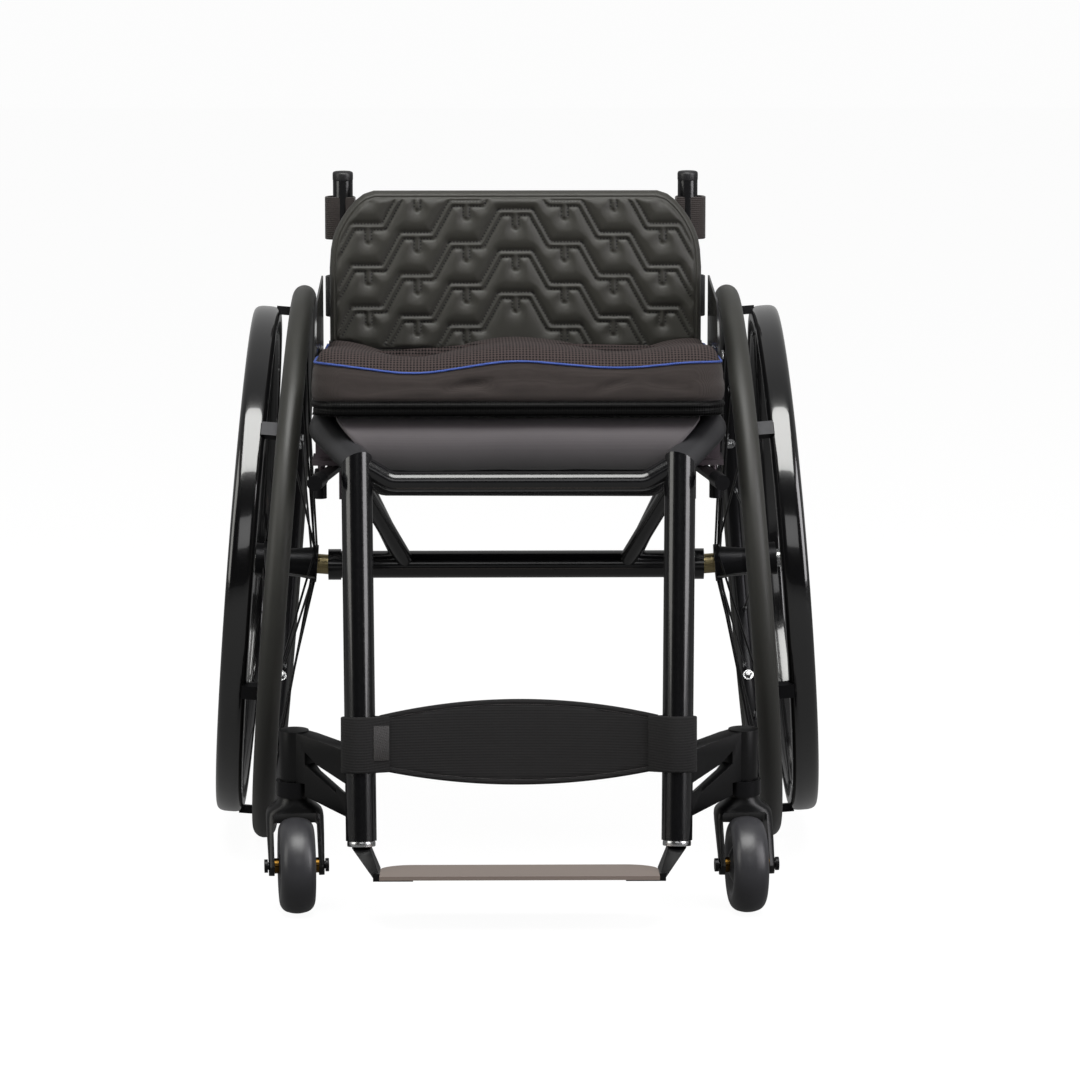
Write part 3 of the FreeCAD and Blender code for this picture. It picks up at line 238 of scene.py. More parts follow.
tyre_profile = []
for i in range(41):
    angle = math.radians(TYRE_GAP / 2 - 90 + (360 - TYRE_GAP) * i / 40)
    swell = 1 + 0.02 * max(0, math.sin(angle) - 0.9)
    tyre_profile.append((TYRE_ROUND * math.cos(angle) * swell, TYRE_CENTRE + TYRE_ROUND * math.sin(angle)))
for side, tilt in lean.items():
    make("rear_tyre_" + side, turned(tyre_profile), tyre_rubber, "wheel_" + side, tilt,
         ["tyre_" + side])


# Rims. Extruded aluminium hoops, rolled, welded and black anodised, with a box section that tapers
# in to the spoke bed. Satin black.
def finish(name, values, grain_mm, detail=2.0, dull=None, relief=None):
    """A finish with fine grain. dull is its range of roughness, relief its bump's strength and depth."""
    material, tree = blank_material(name)
    values = dict(values)
    place = shader_node(tree, "TexCoord", {})
    grain = shader_node(tree, "TexNoise", {"Vector": (place, "Object"), "Scale": 1000 / grain_mm,
                                           "Detail": detail})
    if dull:
        values["Roughness"] = (shader_node(tree, "MapRange", {"Value": (grain, "Fac"), "To Min": dull[0],
                                                              "To Max": dull[1]}), 0)
    if relief:
        values["Normal"] = (shader_node(tree, "Bump", {"Height": (grain, "Fac"), "Strength": relief[0],
                                                       "Distance": relief[1]}), 0)
    coat(tree, values)
    return material


black_anodised = finish("black_anodised_aluminium", {"Base Color": linear("1a1a1c"), "Metallic": 0.7},
                        3.85, 3.0, dull=(0.28, 0.42))
rim_flank = [(0.0084, 0.2846), (0.0090, 0.2838), (0.0090, 0.2775), (0.0087, 0.2764), (0.0070, 0.2706),
             (0.0060, 0.2682), (0.0044, 0.2671), (0.0022, 0.2667)]
rim_profile = rim_flank + [(0, 0.2666)] + [(-x, radius) for x, radius in reversed(rim_flank)]
for side, tilt in lean.items():
    make("rear_rim_" + side, turned(rim_profile), black_anodised, "wheel_" + side, tilt,
         ["rim_" + side], crease=50)


# Push rims. Broad oval aluminium hoops outboard of the tyres, coated gloss black, with a flat outer
# face and rounded shoulders. The coat is smooth and mirrors the lamps in long clean bands.
PUSH_RIM_OUT = 0.0390
PUSH_RIM_RADIUS = 0.2700


def oval(half_a, half_b, power_a, power_b, steps):
    """Pairs round an oval of two half sizes. A power of 1 is an ellipse's, and smaller ones square it."""
    return [(half_a * math.copysign(abs(math.cos(t)) ** power_a, math.cos(t)),
             half_b * math.copysign(abs(math.sin(t)) ** power_b, math.sin(t))) for t in angles(steps)]


push_rim_coat = finish("gloss_coated_push_rim", {
    "Base Color": linear("0b0b0c"), "Roughness": 0.16, "IOR": 1.5, "Coat Weight": 1.0,
    "Coat Roughness": 0.05}, 28.6, 1.0, relief=(0.06, 0.002))
push_rim_profile = [(PUSH_RIM_OUT + a, PUSH_RIM_RADIUS + b) for a, b in oval(0.0145, 0.0090, 0.62, 0.72, 56)]
for side, tilt in lean.items():
    make("push_rim_" + side, turned(push_rim_profile), push_rim_coat, "wheel_" + side,
         tilt, ["handrim_" + side], crease=60)


# Spokes, nipples, tabs and their bolts. Straight black steel spokes with bright plated nipples at the
# rim, and six tabs that carry the push rim, each held by a bright bolt through the rim.
SPOKE_COUNT = 24
SPOKE_CROSSING = 62
FLANGE_PLACES = (-0.0330, 0.0210)
FLANGE_RADIUS = 0.0170
FLANGE_STAGGER = 0.0016
SPOKE_BED = 0.2682
BED_STAGGER = 0.0025
NIPPLE_RADII = (0.0026, 0.0026, 0.0021, 0.0020, 0.0020, 0.0014)
NIPPLE_LONG = 0.0125
BOLT_BED = 0.2676
TAB_COUNT = 6
FIRST_TAB = 50
HEAD_THICK = 0.0016
NUT_END = 0.0060
NUT_RADII = (0.0046, 0.0046, 0.0042, 0.0030)
spoke_wire = finish("black_drawn_steel_spoke", {"Base Color": linear("141415"), "Metallic": 0.6}, 2.5,
                    dull=(0.30, 0.46))
plated_steel = finish("zinc_plated_steel", {"Base Color": linear("c9cacb"), "Metallic": 1.0}, 1.67,
                      dull=(0.18, 0.34))


def joined(shapes):
    """Several shapes as one list of points and faces."""
    points, faces = [], []
    for more_points, more_faces in shapes:
        faces += [tuple(i + len(points) for i in face) for face in more_faces]
        points += list(more_points)
    return points, faces


def dress(material, *names):
    """Gives a finish to pieces whose CAD shape is shown as it is."""
    for name in names:
        nodes[name].data.materials.clear()
        nodes[name].data.materials.append(material)


def rod(start, end, radii, steps):
    """A round bar between two points, with one radius for each of its evenly spaced rings."""
    start, end = Vector(start), Vector(end)
    across = (end - start).orthogonal().normalized()
    other = (end - start).normalized().cross(across)
    rings = []
    for i, radius in enumerate(radii):
        middle = start.lerp(end, i / (len(radii) - 1))
        rings.append([middle + (across * math.cos(t) + other * math.sin(t)) * radius for t in angles(steps)])
    return skin(rings)


def round_wheel(x, radius, degrees):
    """A point of the wheel, its angle counted back from the top."""
    angle = math.radians(degrees)
    return Vector((x, radius * math.sin(angle), radius * math.cos(angle)))


nipples = []
for i in range(SPOKE_COUNT):
    angle = 360 / SPOKE_COUNT * (i + 0.5)
    outer = i % 2
    ahead = 1 if i % 4 < 2 else -1
    head = FLANGE_PLACES[outer] + ahead * FLANGE_STAGGER
    root = round_wheel(head, FLANGE_RADIUS, angle + ahead * SPOKE_CROSSING)
    tip = round_wheel(BED_STAGGER if outer else -BED_STAGGER, SPOKE_BED, angle)
    nipples.append(rod(tip, tip + (root - tip).normalized() * NIPPLE_LONG, NIPPLE_RADII, 10))
bolts = []
for i in range(TAB_COUNT):
    angle = -(FIRST_TAB + 360 / TAB_COUNT * i)
    foot = round_wheel(0, BOLT_BED, angle)
    inward = -round_wheel(0, 1, angle)
    bolts.append(rod(foot, foot + inward * HEAD_THICK, (0.0062, 0.0062), 24))
    bolts.append(rod(foot + inward * HEAD_THICK, foot + inward * NUT_END, NUT_RADII, 6))
for side, tilt in lean.items():
    dress(spoke_wire, "spokes_" + side)
    dress(black_anodised, "hub_" + side, "handrim_tabs_" + side)
    dress(plated_steel, "hub_bearings_" + side)
    make("spoke_nipples_" + side, joined(nipples), plated_steel, "wheel_" + side, tilt)
    make("tab_bolts_" + side, joined(bolts), plated_steel, "wheel_" + side, tilt)


# Axles. Quick-release pins of bright steel with a push button, in gold anodised camber sleeves that
# plug into the black axle tube. The sleeves are turned, so they show fine rings round them.
RING_PITCH = 0.001963
gold_anodised, tree = blank_material("gold_anodised_aluminium")
place = shader_node(tree, "TexCoord", {})
rings = shader_node(tree, "TexWave", {"Vector": (place, "Object"), "bands_direction": "X",
                                      "Scale": math.pi / 10 / RING_PITCH})
relief = shader_node(tree, "Bump", {"Height": (rings, "Fac"), "Strength": 0.25, "Distance": 0.0003})
coat(tree, {"Base Color": linear("b5a67c"), "Metallic": 1.0, "Roughness": 0.34, "Normal": (relief, 0)})
dress(gold_anodised, "camber_sleeves")
dress(plated_steel, "quick_release_axles", "axle_button_left", "axle_button_right")


# Frame. Welded aluminium tubes in gloss black powder coat: two seat rails, two front tubes, the bar
# between the knees, the axle tube and its four struts. The coat has a faint orange peel, and the seat
# rails are coated satin, so they show as a soft charcoal.
powder_coat = finish("gloss_black_powder_coat", {
    "Base Color": linear("08080a"), "IOR": 1.5, "Coat Weight": 0.6, "Coat Roughness": 0.06}, 3.125, 1.5,
    dull=(0.18, 0.28), relief=(0.05, 0.0004))
satin_coat = finish("satin_black_powder_coat", {"Base Color": linear("29292b"), "IOR": 1.5}, 1.43,
                    dull=(0.38, 0.52))
dress(satin_coat, "seat_rail_left", "seat_rail_right")
dress(powder_coat, "front_tube_left", "front_tube_right", "front_crossbar", "axle_tube", "front_struts",
      "rear_struts", "hinge_brackets", "backrest_posts", "backrest_bar")


# Casters. Small solid rubber wheels on moulded nylon cores, with turned brass spacers between each core
# and its fork's legs, and a black bolt through them. The rubber is a soft grey-black, the nylon dull.
caster_rubber = finish("solid_caster_rubber", {"Base Color": linear("303033"), "Roughness": 0.36, "IOR": 1.5},
                       1.43, relief=(0.12, 0.0004))
core_nylon = finish("moulded_nylon", {"Base Color": linear("19191b"), "Roughness": 0.42, "IOR": 1.53}, 2.0,
                    relief=(0.1, 0.0003))
spacer_brass = finish("turned_brass", {"Base Color": linear("5c431a"), "Metallic": 1.0}, 2.0,
                      dull=(0.16, 0.30))
for side in SIDES:
    dress(black_anodised, "caster_bolt_" + side, "caster_stem_" + side)
    dress(spacer_brass, "caster_spacers_" + side)
    dress(core_nylon, "caster_core_" + side)
    dress(caster_rubber, "caster_tyre_" + side)
dress(plated_steel, "caster_bearings", "hinge_pins")


# Caster forks and arms. Forged aluminium in satin black: each fork's waisted neck spreads into two flat
# legs with round ends round a milled wheel space. Each arm's edges are rounded and a slit lightens it.
CASTER_PLACE = (0.2340, -0.2515)
CASTER_TURN = math.radians(5)
CASTER_TRAIL = -0.0340
CASTER_RADIUS = 0.0500
SLIT_SLANT = math.radians(10)
SLIT_REACH = 0.055
slit_corners = ((0.2120, -0.262, 0.1540), (0.2060, -0.268, 0.1468), (0.1790, -0.290, 0.1276),
                (0.1770, -0.290, 0.1372))
satin_forging = finish("satin_black_forged_aluminium", {"Base Color": linear("050506"), "IOR": 1.4}, 1.92,
                       dull=(0.28, 0.42))
# Each level is a height, the half width and half depth there, how far the middle trails, and squareness.
fork_levels = ((0.1180, 0.0166, 0.0166, 0.0, 2.0), (0.1162, 0.0166, 0.0166, 0.0, 2.0),
               (0.1138, 0.0174, 0.0170, 0.0, 2.1), (0.1112, 0.0194, 0.0175, 0.0, 2.3),
               (0.1086, 0.0224, 0.0180, 0.0, 2.6), (0.1060, 0.0256, 0.0183, 0.0, 3.0),
               (0.1034, 0.0281, 0.0185, 0.0, 3.4), (0.1004, 0.0295, 0.0185, -0.0006, 3.8),
               (0.0960, 0.0300, 0.0181, -0.0022, 4.0), (0.0900, 0.0300, 0.0172, -0.0062, 4.2),
               (0.0800, 0.0298, 0.0156, -0.0138, 4.4), (0.0700, 0.0295, 0.0140, -0.0208, 4.6),
               (0.0600, 0.0292, 0.0123, -0.0276, 4.8), (0.0500, 0.0290, 0.0110, -0.0340, 5.0),
               (0.0460, 0.0290, 0.0102, -0.0340, 5.0), (0.0430, 0.0290, 0.0084, -0.0340, 5.0),
               (0.0410, 0.0290, 0.0060, -0.0340, 5.0), (0.0398, 0.0290, 0.0030, -0.0340, 5.0))


def fork_level(z):
    """Half width, half depth, middle and squareness of the forging at one height."""
    heights = [level[0] for level in reversed(fork_levels)]
    return [float(np.interp(z, heights, [level[i] for level in reversed(fork_levels)])) for i in (1, 2, 3, 4)]


fork_rings = []
for z in list(np.linspace(0.1180, 0.0460, 73)) + [0.0445, 0.0430, 0.0420, 0.0410, 0.0404, 0.0398]:
    half_x, half_y, middle, square = fork_level(z)
    outline = oval(half_x, half_y, 2 / square, 2 / square, 80)
    fork_rings.append([Vector((a, middle + b, z)) for a, b in outline])
wheel_rings = []
for x, radius in ((-0.0232, 0.040), (-0.0232, 0.0515), (-0.0222, 0.0532), (-0.0205, 0.0540), (0.0205, 0.0540),
                  (0.0222, 0.0532), (0.0232, 0.0515), (0.0232, 0.040)):
    wheel_rings.append([Vector((x, CASTER_TRAIL + radius * math.sin(t), CASTER_RADIUS + radius * math.cos(t)))
                        for t in angles(96)])


def carve(piece, shape, place=Matrix()):
    """Cuts a shape out of a piece for good."""
    cutter = placed("cutter", mesh_of("cutter", shape, place))
    cut = piece.modifiers.new("milled", "BOOLEAN")
    cut.object = cutter
    cut.solver = "EXACT"
    carved = bpy.data.meshes.new_from_object(piece.evaluated_get(bpy.context.evaluated_depsgraph_get()))
    piece.modifiers.clear()
    piece.data = carved
    carved.set_sharp_from_angle(angle=math.radians(38))
    bpy.data.objects.remove(cutter)


for side, k in SIDES.items():
    turned_in = Matrix.Translation((k * CASTER_PLACE[0], CASTER_PLACE[1], 0))
    turned_in = turned_in @ Matrix.Rotation(CASTER_TURN, 4, "Z")
    fork = make("forged_fork_" + side, skin(fork_rings), satin_forging, "caster_fork_" + side,
                turned_in, ["caster_fork_" + side], crease=38)
    carve(fork, skin(wheel_rings), turned_in)
    arm_mesh = nodes["caster_arm_" + side].data.copy()
    arm_mesh.transform(nodes["caster_arm_" + side].matrix_world)
    arm_mesh.materials.clear()
    arm_mesh.materials.append(satin_forging)
    arm = placed("forged_caster_arm_" + side, arm_mesh)
    weld = arm.modifiers.new("seam", "WELD")
    weld.merge_threshold = 0.00002
    bevel = arm.modifiers.new("rounded_edge", "BEVEL")
    bevel.width = 0.0024
    bevel.segments = 3
    bevel.limit_method = "ANGLE"
    bevel.angle_limit = math.radians(32)
    slit = []
    for depth in (-SLIT_REACH, SLIT_REACH):
        through = Vector((0, math.cos(SLIT_SLANT) * depth, -math.sin(SLIT_SLANT) * depth))
        slit.append([Vector((k * x, y, z)) + through for x, y, z in slit_corners])
    carve(arm, skin(slit))
    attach(arm, "frame")
    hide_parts("caster_arm_" + side)


# Footrest hangers. Forged in the same satin black, on telescoping tubes of bare drawn aluminium, which
# show as a thin bright ring where each one leaves its front tube.
FRONT_TUBE_FOOT = (0.1630, -0.3155, 0.0835)
FRONT_TUBE_HIGH = (0.1670, -0.2535, 0.4690)
END_LONG = 0.0058
END_SUNK = 0.0002
END_RADII = (0.0140, 0.0146, 0.0147, 0.0147, 0.0145)
dress(satin_forging, "footrest_hangers")
bright_ends = []
for k in SIDES.values():
    mirror = Matrix.Diagonal((k, 1, 1))
    foot = mirror @ Vector(FRONT_TUBE_FOOT)
    along = (foot - mirror @ Vector(FRONT_TUBE_HIGH)).normalized()
    bright_ends.append(rod(foot - along * END_SUNK, foot + along * END_LONG, END_RADII, 64))
make("footrest_tube_ends", joined(bright_ends), plated_steel, "frame")


# Footplate. A thin aluminium plate, cut flat and rounded at its back corners, powder coated in a warm
# satin grey-brown. It catches the overhead light as one broad soft highlight.
plate_coat = finish("satin_grey_coated_plate", {"Base Color": linear("82766f"), "Roughness": 0.42,
                                                "Metallic": 0.25}, 2.86, relief=(0.1, 0.0004))
dress(plate_coat, "footplate")


# Brakes. Brackets of pressed and bent aluminium in a satin lilac grey, each with two upright pins. The
# hand levers and the shoe arms that turn on them are black anodised.
brake_alloy = finish("satin_grey_aluminium", {"Base Color": linear("746b70"), "Metallic": 0.8}, 2.38,
                     dull=(0.30, 0.44))
dress(brake_alloy, "brake_mounts")
for side in SIDES:
    dress(black_anodised, "brake_lever_" + side, "brake_arm_" + side)


# Side guards. Thin moulded plates of gloss black plastic that keep clothes off the tyres. Wiping has
# left faint swirls, which break up their reflections.
guard_gloss = finish("gloss_black_abs", {"Base Color": linear("121213"), "IOR": 1.53}, 16.7, 5.0,
                     dull=(0.14, 0.28))
dress(guard_gloss, "side_guards")


# Calf strap. A broad padded band of black ribbed fabric between the front tubes, bound and stitched
# along both edges, with a sewn loop round each tube. A plain satin tag covers one loop's seam.
BAND_REACH = 0.1440
BAND_SAG = 0.0140
BAND_HALF = 0.0285
BAND_SWELL = 0.0160
BAND_BINDING = 0.0066
BAND_THICK = 0.0020
SEAM_IN = 0.0055
STITCH_PITCH = 0.0022
BAND_MIDDLE = (0, -0.2995, 0.183)
TUBE_LEAN = -9.14
TUBE_AXIS = 0.16403
LOOP_RADIUS = 0.0183
LOOP_OPENING = 104
LOOP_SLANT = 0.58
TAIL_END = 0.1345
TAIL_SPLIT = 0.0021


def weave(tree, pitch, weights=(1, 1, 1)):
    """Threads crossing at a pitch in metres, as a value round zero, on surfaces that face any way."""
    place = shader_node(tree, "TexCoord", {})
    turns = shader_node(tree, "VectorMath", {"operation": "SCALE", 0: (place, "Object"),
                                             "Scale": 2 * math.pi / pitch})
    waves = shader_node(tree, "VectorMath", {"operation": "SINE", 0: (turns, 0)})
    return shader_node(tree, "VectorMath", {"operation": "DOT_PRODUCT", 0: (waves, 0), 1: weights})


def cloth(name, dark, light, pitch, depth, weights=(1, 1, 1), roughness=0.85, sheen=0.25, ior=1.5):
    """A fabric whose threads show at a pitch in metres, shaded unevenly where it has been handled."""
    material, tree = blank_material(name)
    threads = weave(tree, pitch, weights)
    place = shader_node(tree, "TexCoord", {})
    worn = shader_node(tree, "TexNoise", {"Vector": (place, "Object"), "Scale": 1000 / 71.4, "Detail": 4.0})
    share = shader_node(tree, "Math", {"operation": "MULTIPLY_ADD", 0: (threads, "Value"), 1: 0.16, 2: 0.12})
    share = shader_node(tree, "Math", {"operation": "ADD", 0: (share, 0), 1: (worn, "Fac")})
    share = shader_node(tree, "Clamp", {"Value": (share, 0)})
    shade = shader_node(tree, "Mix", {"data_type": "RGBA", "Factor": (share, 0), 6: linear(dark),
                                      7: linear(light)})
    relief = shader_node(tree, "Bump", {"Height": (threads, "Value"), "Strength": 0.5, "Distance": depth})
    coat(tree, {"Base Color": (shade, 2), "Normal": (relief, 0), "Roughness": roughness, "IOR": ior,
                "Sheen Weight": sheen, "Sheen Roughness": 0.45})
    return material


def rounded(half_out, half_up, corner, steps=4):
    """A strap's cross-section: a rectangle with rounded corners, as (out, up) pairs."""
    pairs = []
    for a, b, start in ((1, 1, 0), (-1, 1, 90), (-1, -1, 180), (1, -1, 270)):
        for i in range(steps + 1):
            turn = math.radians(start + 90 * i / steps)
            pairs.append((a * (half_out - corner) + corner * math.cos(turn),
                          b * (half_up - corner) + corner * math.sin(turn)))
    return pairs


def swept(path, section, closed=False):
    """A cross-section of (out, up) pairs carried along a level path."""
    up = Vector((0, 0, 1))
    rings = []
    for i, point in enumerate(path):
        before = path[i - 1] if closed or i else path[0]
        after = path[(i + 1) % len(path)] if closed or i < len(path) - 1 else path[-1]
        out = (after - before).cross(up).normalized()
        rings.append([point + out * a + up * b for a, b in section])
    return skin(rings, loop=closed)


ribbed_webbing = cloth("ribbed_polyester_webbing", "080708", "111011", 0.0028, 0.0002, (0.2, 0.2, 1.0),
                       roughness=0.95, sheen=0.02)
calf_tilt = Matrix.Translation(BAND_MIDDLE) @ Matrix.Rotation(math.radians(TUBE_LEAN), 4, "X")
rings = []
for i in range(181):
    x = BAND_REACH * (i / 90 - 1)
    rise = 1 - (x / BAND_REACH) ** 2
    half = BAND_HALF + BAND_SWELL * rise
    steps = [0.0, 0.0007, 0.0018, 0.0032, 0.0044, 0.0052, 0.0058, BAND_BINDING] + [
        BAND_BINDING + (half - BAND_BINDING) * j / 8 for j in range(1, 9)]
    bulges = [0.0, 0.0013, 0.0018, 0.0020, 0.0018, 0.0012, 0.0010, 0.0014] + [
        0.0014 + 0.0005 * math.sin(math.pi * j / 16) for j in range(1, 9)]
    crease = 0.0006 * noise.noise(Vector((x * 38, 0, 2.0)))
    lens = [(half - s, b) for s, b in zip(steps, bulges)]
    lens += [(-z, b) for z, b in reversed(lens[:-1])]
    middle = BAND_SAG * rise + BAND_THICK
    rings.append([Vector((x, middle - b + crease * (b > 0.001), z)) for z, b in lens]
                 + [Vector((x, middle + b, z)) for z, b in reversed(lens[1:-1])])
band_shape = skin(rings)
loops = []
for k in SIDES.values():
    path = []
    for i in range(37):
        angle = math.radians(LOOP_OPENING / 2 - 180 + (360 - LOOP_OPENING) * i / 36)
        out = TUBE_AXIS + LOOP_RADIUS * math.cos(angle)
        path.append(Vector((k * out, LOOP_RADIUS * math.sin(angle) + 0.0002, 0)))
    tail = Vector((k * TAIL_END, BAND_THICK, 0))
    front = [tail.lerp(path[0], s) + Vector((0, -TAIL_SPLIT * (1 - s), 0)) for s in (0, 0.2, 0.4, 0.6, 0.8)]
    rear = [path[-1].lerp(tail, s) + Vector((0, TAIL_SPLIT * s, 0)) for s in (0.2, 0.4, 0.6, 0.8, 1)]
    slant = Matrix.Rotation(math.radians(k * LOOP_SLANT), 4, "Y")
    loops.append(swept([slant @ p for p in front + path + rear], rounded(0.0017, 0.0290, 0.0015)))
calf_strap = make("calf_strap_webbing", joined([band_shape] + loops), ribbed_webbing, "frame",
                  calf_tilt, ["calf_strap"])
thread = cloth("bonded_nylon_thread", "2c2a2b", "3d3a3a", 0.0012, 0.0002)
stitches = []
for edge in (1, -1):
    for i in range(-62, 63):
        x = i * STITCH_PITCH
        rise = 1 - (x / BAND_REACH) ** 2
        y = BAND_SAG * rise + 0.0005
        z = edge * (BAND_HALF + BAND_SWELL * rise - SEAM_IN)
        stitches.append(rod((x - 0.0008, y, z), (x + 0.0008, y, z), (0.0002, 0.0004, 0.0002), 6))
make("calf_strap_stitches", joined(stitches), thread, "frame", calf_tilt)
satin_tag = cloth("woven_satin_tag", "1b1919", "262423", 0.0016, 0.0001, roughness=0.5, sheen=0.1)
tag_start = Vector((-TAIL_END + 0.00136, -0.00185, 0))
tag_path = [tag_start + Vector((-0.0182, -0.0141, 0)) * share for share in (0.06, 0.3, 0.5, 0.7, 0.92)]
make("calf_strap_tag", swept(tag_path, rounded(0.0004, 0.0180, 0.0003, 2)), satin_tag, "frame",
     calf_tilt)


# Seat sling and apron. Dark grey coated fabric stretched over the rails with rolled hems, and an apron
# that runs from its front edge down to the bar between the knees. Painted light and shade make the apron's
# top pale and darken it towards the bar.
SEAT_SLOPE = 0.0778
RAIL_START = -0.1755
RAIL_TOP = 0.5073
SLING_BACK = 0.1425
SLING_FRONT = -0.1705
SLING_HALF = 0.2068
# The heights over which the painted light and shade run, from near black at the bar to pale at the apron's
# top.
APRON_PAINTED_LIGHT = (0.4600, 0.5020)
FLAP_OUT = 0.1852
FLAP_START = -0.1640
FLAP_LONG = 0.2960
sling_cloth, tree = blank_material("coated_polyester_sling")
threads = weave(tree, 0.0009)
place = shader_node(tree, "TexCoord", {})
along = shader_node(tree, "SeparateXYZ", {0: (place, "Object")})
worn = shader_node(tree, "TexNoise", {"Vector": (place, "Object"), "Scale": 1000 / 91, "Detail": 4.0})
# Painted light and shade: the colour is pale on the sling and the apron's top and darkens down to the bar.
# Random patches of wear are added on top.
painted_light_and_wear = shader_node(tree, "MapRange", {"Value": (along, "Z"), "From Min": APRON_PAINTED_LIGHT[0],
                                       "From Max": APRON_PAINTED_LIGHT[1]})
painted_light_and_wear = shader_node(tree, "Math", {"operation": "MULTIPLY_ADD", 0: (worn, "Fac"), 1: 0.3, 2: (painted_light_and_wear, 0)})
painted_light_and_wear = shader_node(tree, "Math", {"operation": "ADD", 0: (painted_light_and_wear, 0), 1: -0.15, "use_clamp": True})
shade = shader_node(tree, "Mix", {"data_type": "RGBA", "Factor": (painted_light_and_wear, 0), 6: linear("0b0a0b"),
                                  7: linear("504b4e")})
relief = shader_node(tree, "Bump", {"Height": (threads, "Value"), "Strength": 0.2, "Distance": 0.0001})
coat(tree, {"Base Color": (shade, 2), "Normal": (relief, 0), "Roughness": 0.7, "IOR": 1.5,
            "Sheen Weight": 0.15, "Sheen Roughness": 0.5})


def seat_top(y):
    """The height of the rails' top line at a distance along the chair."""
    return RAIL_TOP - (y - RAIL_START) * SEAT_SLOPE


def two_sided(front, back, cols):
    """A sheet of two grids of points in rows of cols, joined round the edge."""
    total = len(front)
    rows = total // cols
    faces = []
    for row in range(rows - 1):
        for a in range(row * cols, row * cols + cols - 1):
            faces.append((a, a + 1, a + cols + 1, a + cols))
            faces.append(tuple(total + i for i in (a, a + cols, a + cols + 1, a + 1)))
    border = list(range(cols)) + [row * cols + cols - 1 for row in range(1, rows)]
    border += [total - 1 - i for i in range(1, cols)] + [row * cols for row in range(rows - 2, 0, -1)]
    faces += [(a, b, b + total, a + total) for a, b in zip(border, border[1:] + border[:1])]
    return front + back, faces


sheet_rows = []
for i in range(33):
    y = SLING_BACK - (SLING_BACK - SLING_FRONT) * i / 32
    sheet_rows.append((y, seat_top(y) + 0.0013, SLING_HALF))
apron_curve = ((SLING_FRONT, 0.5079), (-0.2250, 0.5120), (-0.2478, 0.5138), (-0.2478, 0.4609))
for i in range(1, 41):
    t = i / 40
    shares = ((1 - t) ** 3, 3 * t * (1 - t) ** 2, 3 * t * t * (1 - t), t ** 3)
    y = sum(share * place[0] for share, place in zip(shares, apron_curve))
    z = sum(share * place[1] for share, place in zip(shares, apron_curve))
    half = min(0.1900 + 0.0120 * (1 - min(1, t / 0.3)), 0.1585 + 0.98 * (z - 0.4784))
    sheet_rows.append((y, z, half))
columns = 90
upper, lower = [], []
for row, (y, z, half) in enumerate(sheet_rows):
    for j in range(columns + 1):
        share = 2 * j / columns - 1
        x = half * share
        ripple = 0.0004 * noise.noise(Vector((x * 30, y * 24, 4.0)))
        if row > 33:
            ripple += 0.0012 * noise.noise(Vector((x * 16, y * 55, 1.0))) * (1 - abs(share) ** 6)
        hem = 0.0008 * (abs(share) > 0.975)
        upper.append(Vector((x, y, z + 0.0010 + hem + ripple)))
        lower.append(Vector((x, y, z - 0.0010 - hem * 0.3 + ripple)))
flaps = []
for k in SIDES.values():
    path = []
    for i in range(30):
        y = FLAP_START + FLAP_LONG * i / 29
        wave = 0.0006 * noise.noise(Vector((i, k, 0)))
        path.append(Vector((k * (FLAP_OUT + wave), y, seat_top(y) - 0.0130)))
    flaps.append(swept(path, rounded(0.0008, 0.0130, 0.0007, 2)))
sling = make("seat_sling_fabric", joined([two_sided(upper, lower, columns + 1)] + flaps), sling_cloth,
             "frame", replaced=["seat_sling"])


# Bag under the seat. A soft black nylon pouch that hangs from the sling, with piped edges round its
# front and back and a zip across the back. Its floor sags a little between the seams.
BAG_HALF = 0.1560
BAG_FRONT = -0.2355
BAG_LONG = 0.1820
BAG_FLOOR = 0.4305
BAG_SEAM = 0.0100
BAG_SAG = 0.0045
PIPED_RINGS = (3, 45)
ZIP_HEIGHT = 0.4720


def closed_cord(path, sides, radius, steps, out=0.0, up=0.0):
    """A round cord along a closed path, set off by out along sides, which point square to the path."""
    rings = []
    for i, (point, across) in enumerate(zip(path, sides)):
        along = (path[(i + 1) % len(path)] - path[i - 1]).normalized()
        other = along.cross(across).normalized()
        centre = point + across * out + Vector((0, 0, up))
        rings.append([centre + (across * math.cos(t) + other * math.sin(t)) * radius for t in angles(steps)])
    return skin(rings, loop=True)


bag_nylon = cloth("black_oxford_nylon", "0f0f11", "1d1d20", 0.0022, 0.0003, roughness=0.6, sheen=0.2)
rings = []
for i in range(49):
    share = i / 48
    end = min(share, 1 - share) * BAG_LONG
    shrink = 1 - 0.10 * max(0, 1 - end / BAG_SEAM) ** 2
    y = BAG_FRONT + BAG_LONG * share
    under_apron = 0.5057 - max(0, SLING_FRONT - y) / 0.0770 * 0.0470
    top = min(seat_top(y) - 0.0008, under_apron)
    floor_z = BAG_FLOOR + 0.0050 * share
    sag = BAG_SAG * math.sin(math.pi * share) ** 0.6
    middle, tall = (top + floor_z) / 2, (top - floor_z) / 2
    ring = []
    for a, b in rounded(BAG_HALF, tall, min(0.020, tall * 0.9), 7):
        x = a * shrink
        z = middle + b * (shrink if b < 0 else 1)
        z -= sag * (1 - (a / BAG_HALF) ** 2) if b < -tall * 0.5 else 0
        push = 0.0022 * noise.noise(Vector((x * 19, y * 22, z * 30))) * (b < tall * 0.6)
        ring.append(Vector((x + math.copysign(push, x) * (abs(a) > BAG_HALF * 0.9), y, z + push * (b < 0))))
    rings.append(ring)
dense = []
for ring in rings:
    full = []
    for point, following in zip(ring, ring[1:] + ring[:1]):
        pieces = 12 if (following - point).length > 0.05 else 1
        full += [point.lerp(following, s / pieces) for s in range(pieces)]
    dense.append(full)
length = min(len(full) for full in dense)
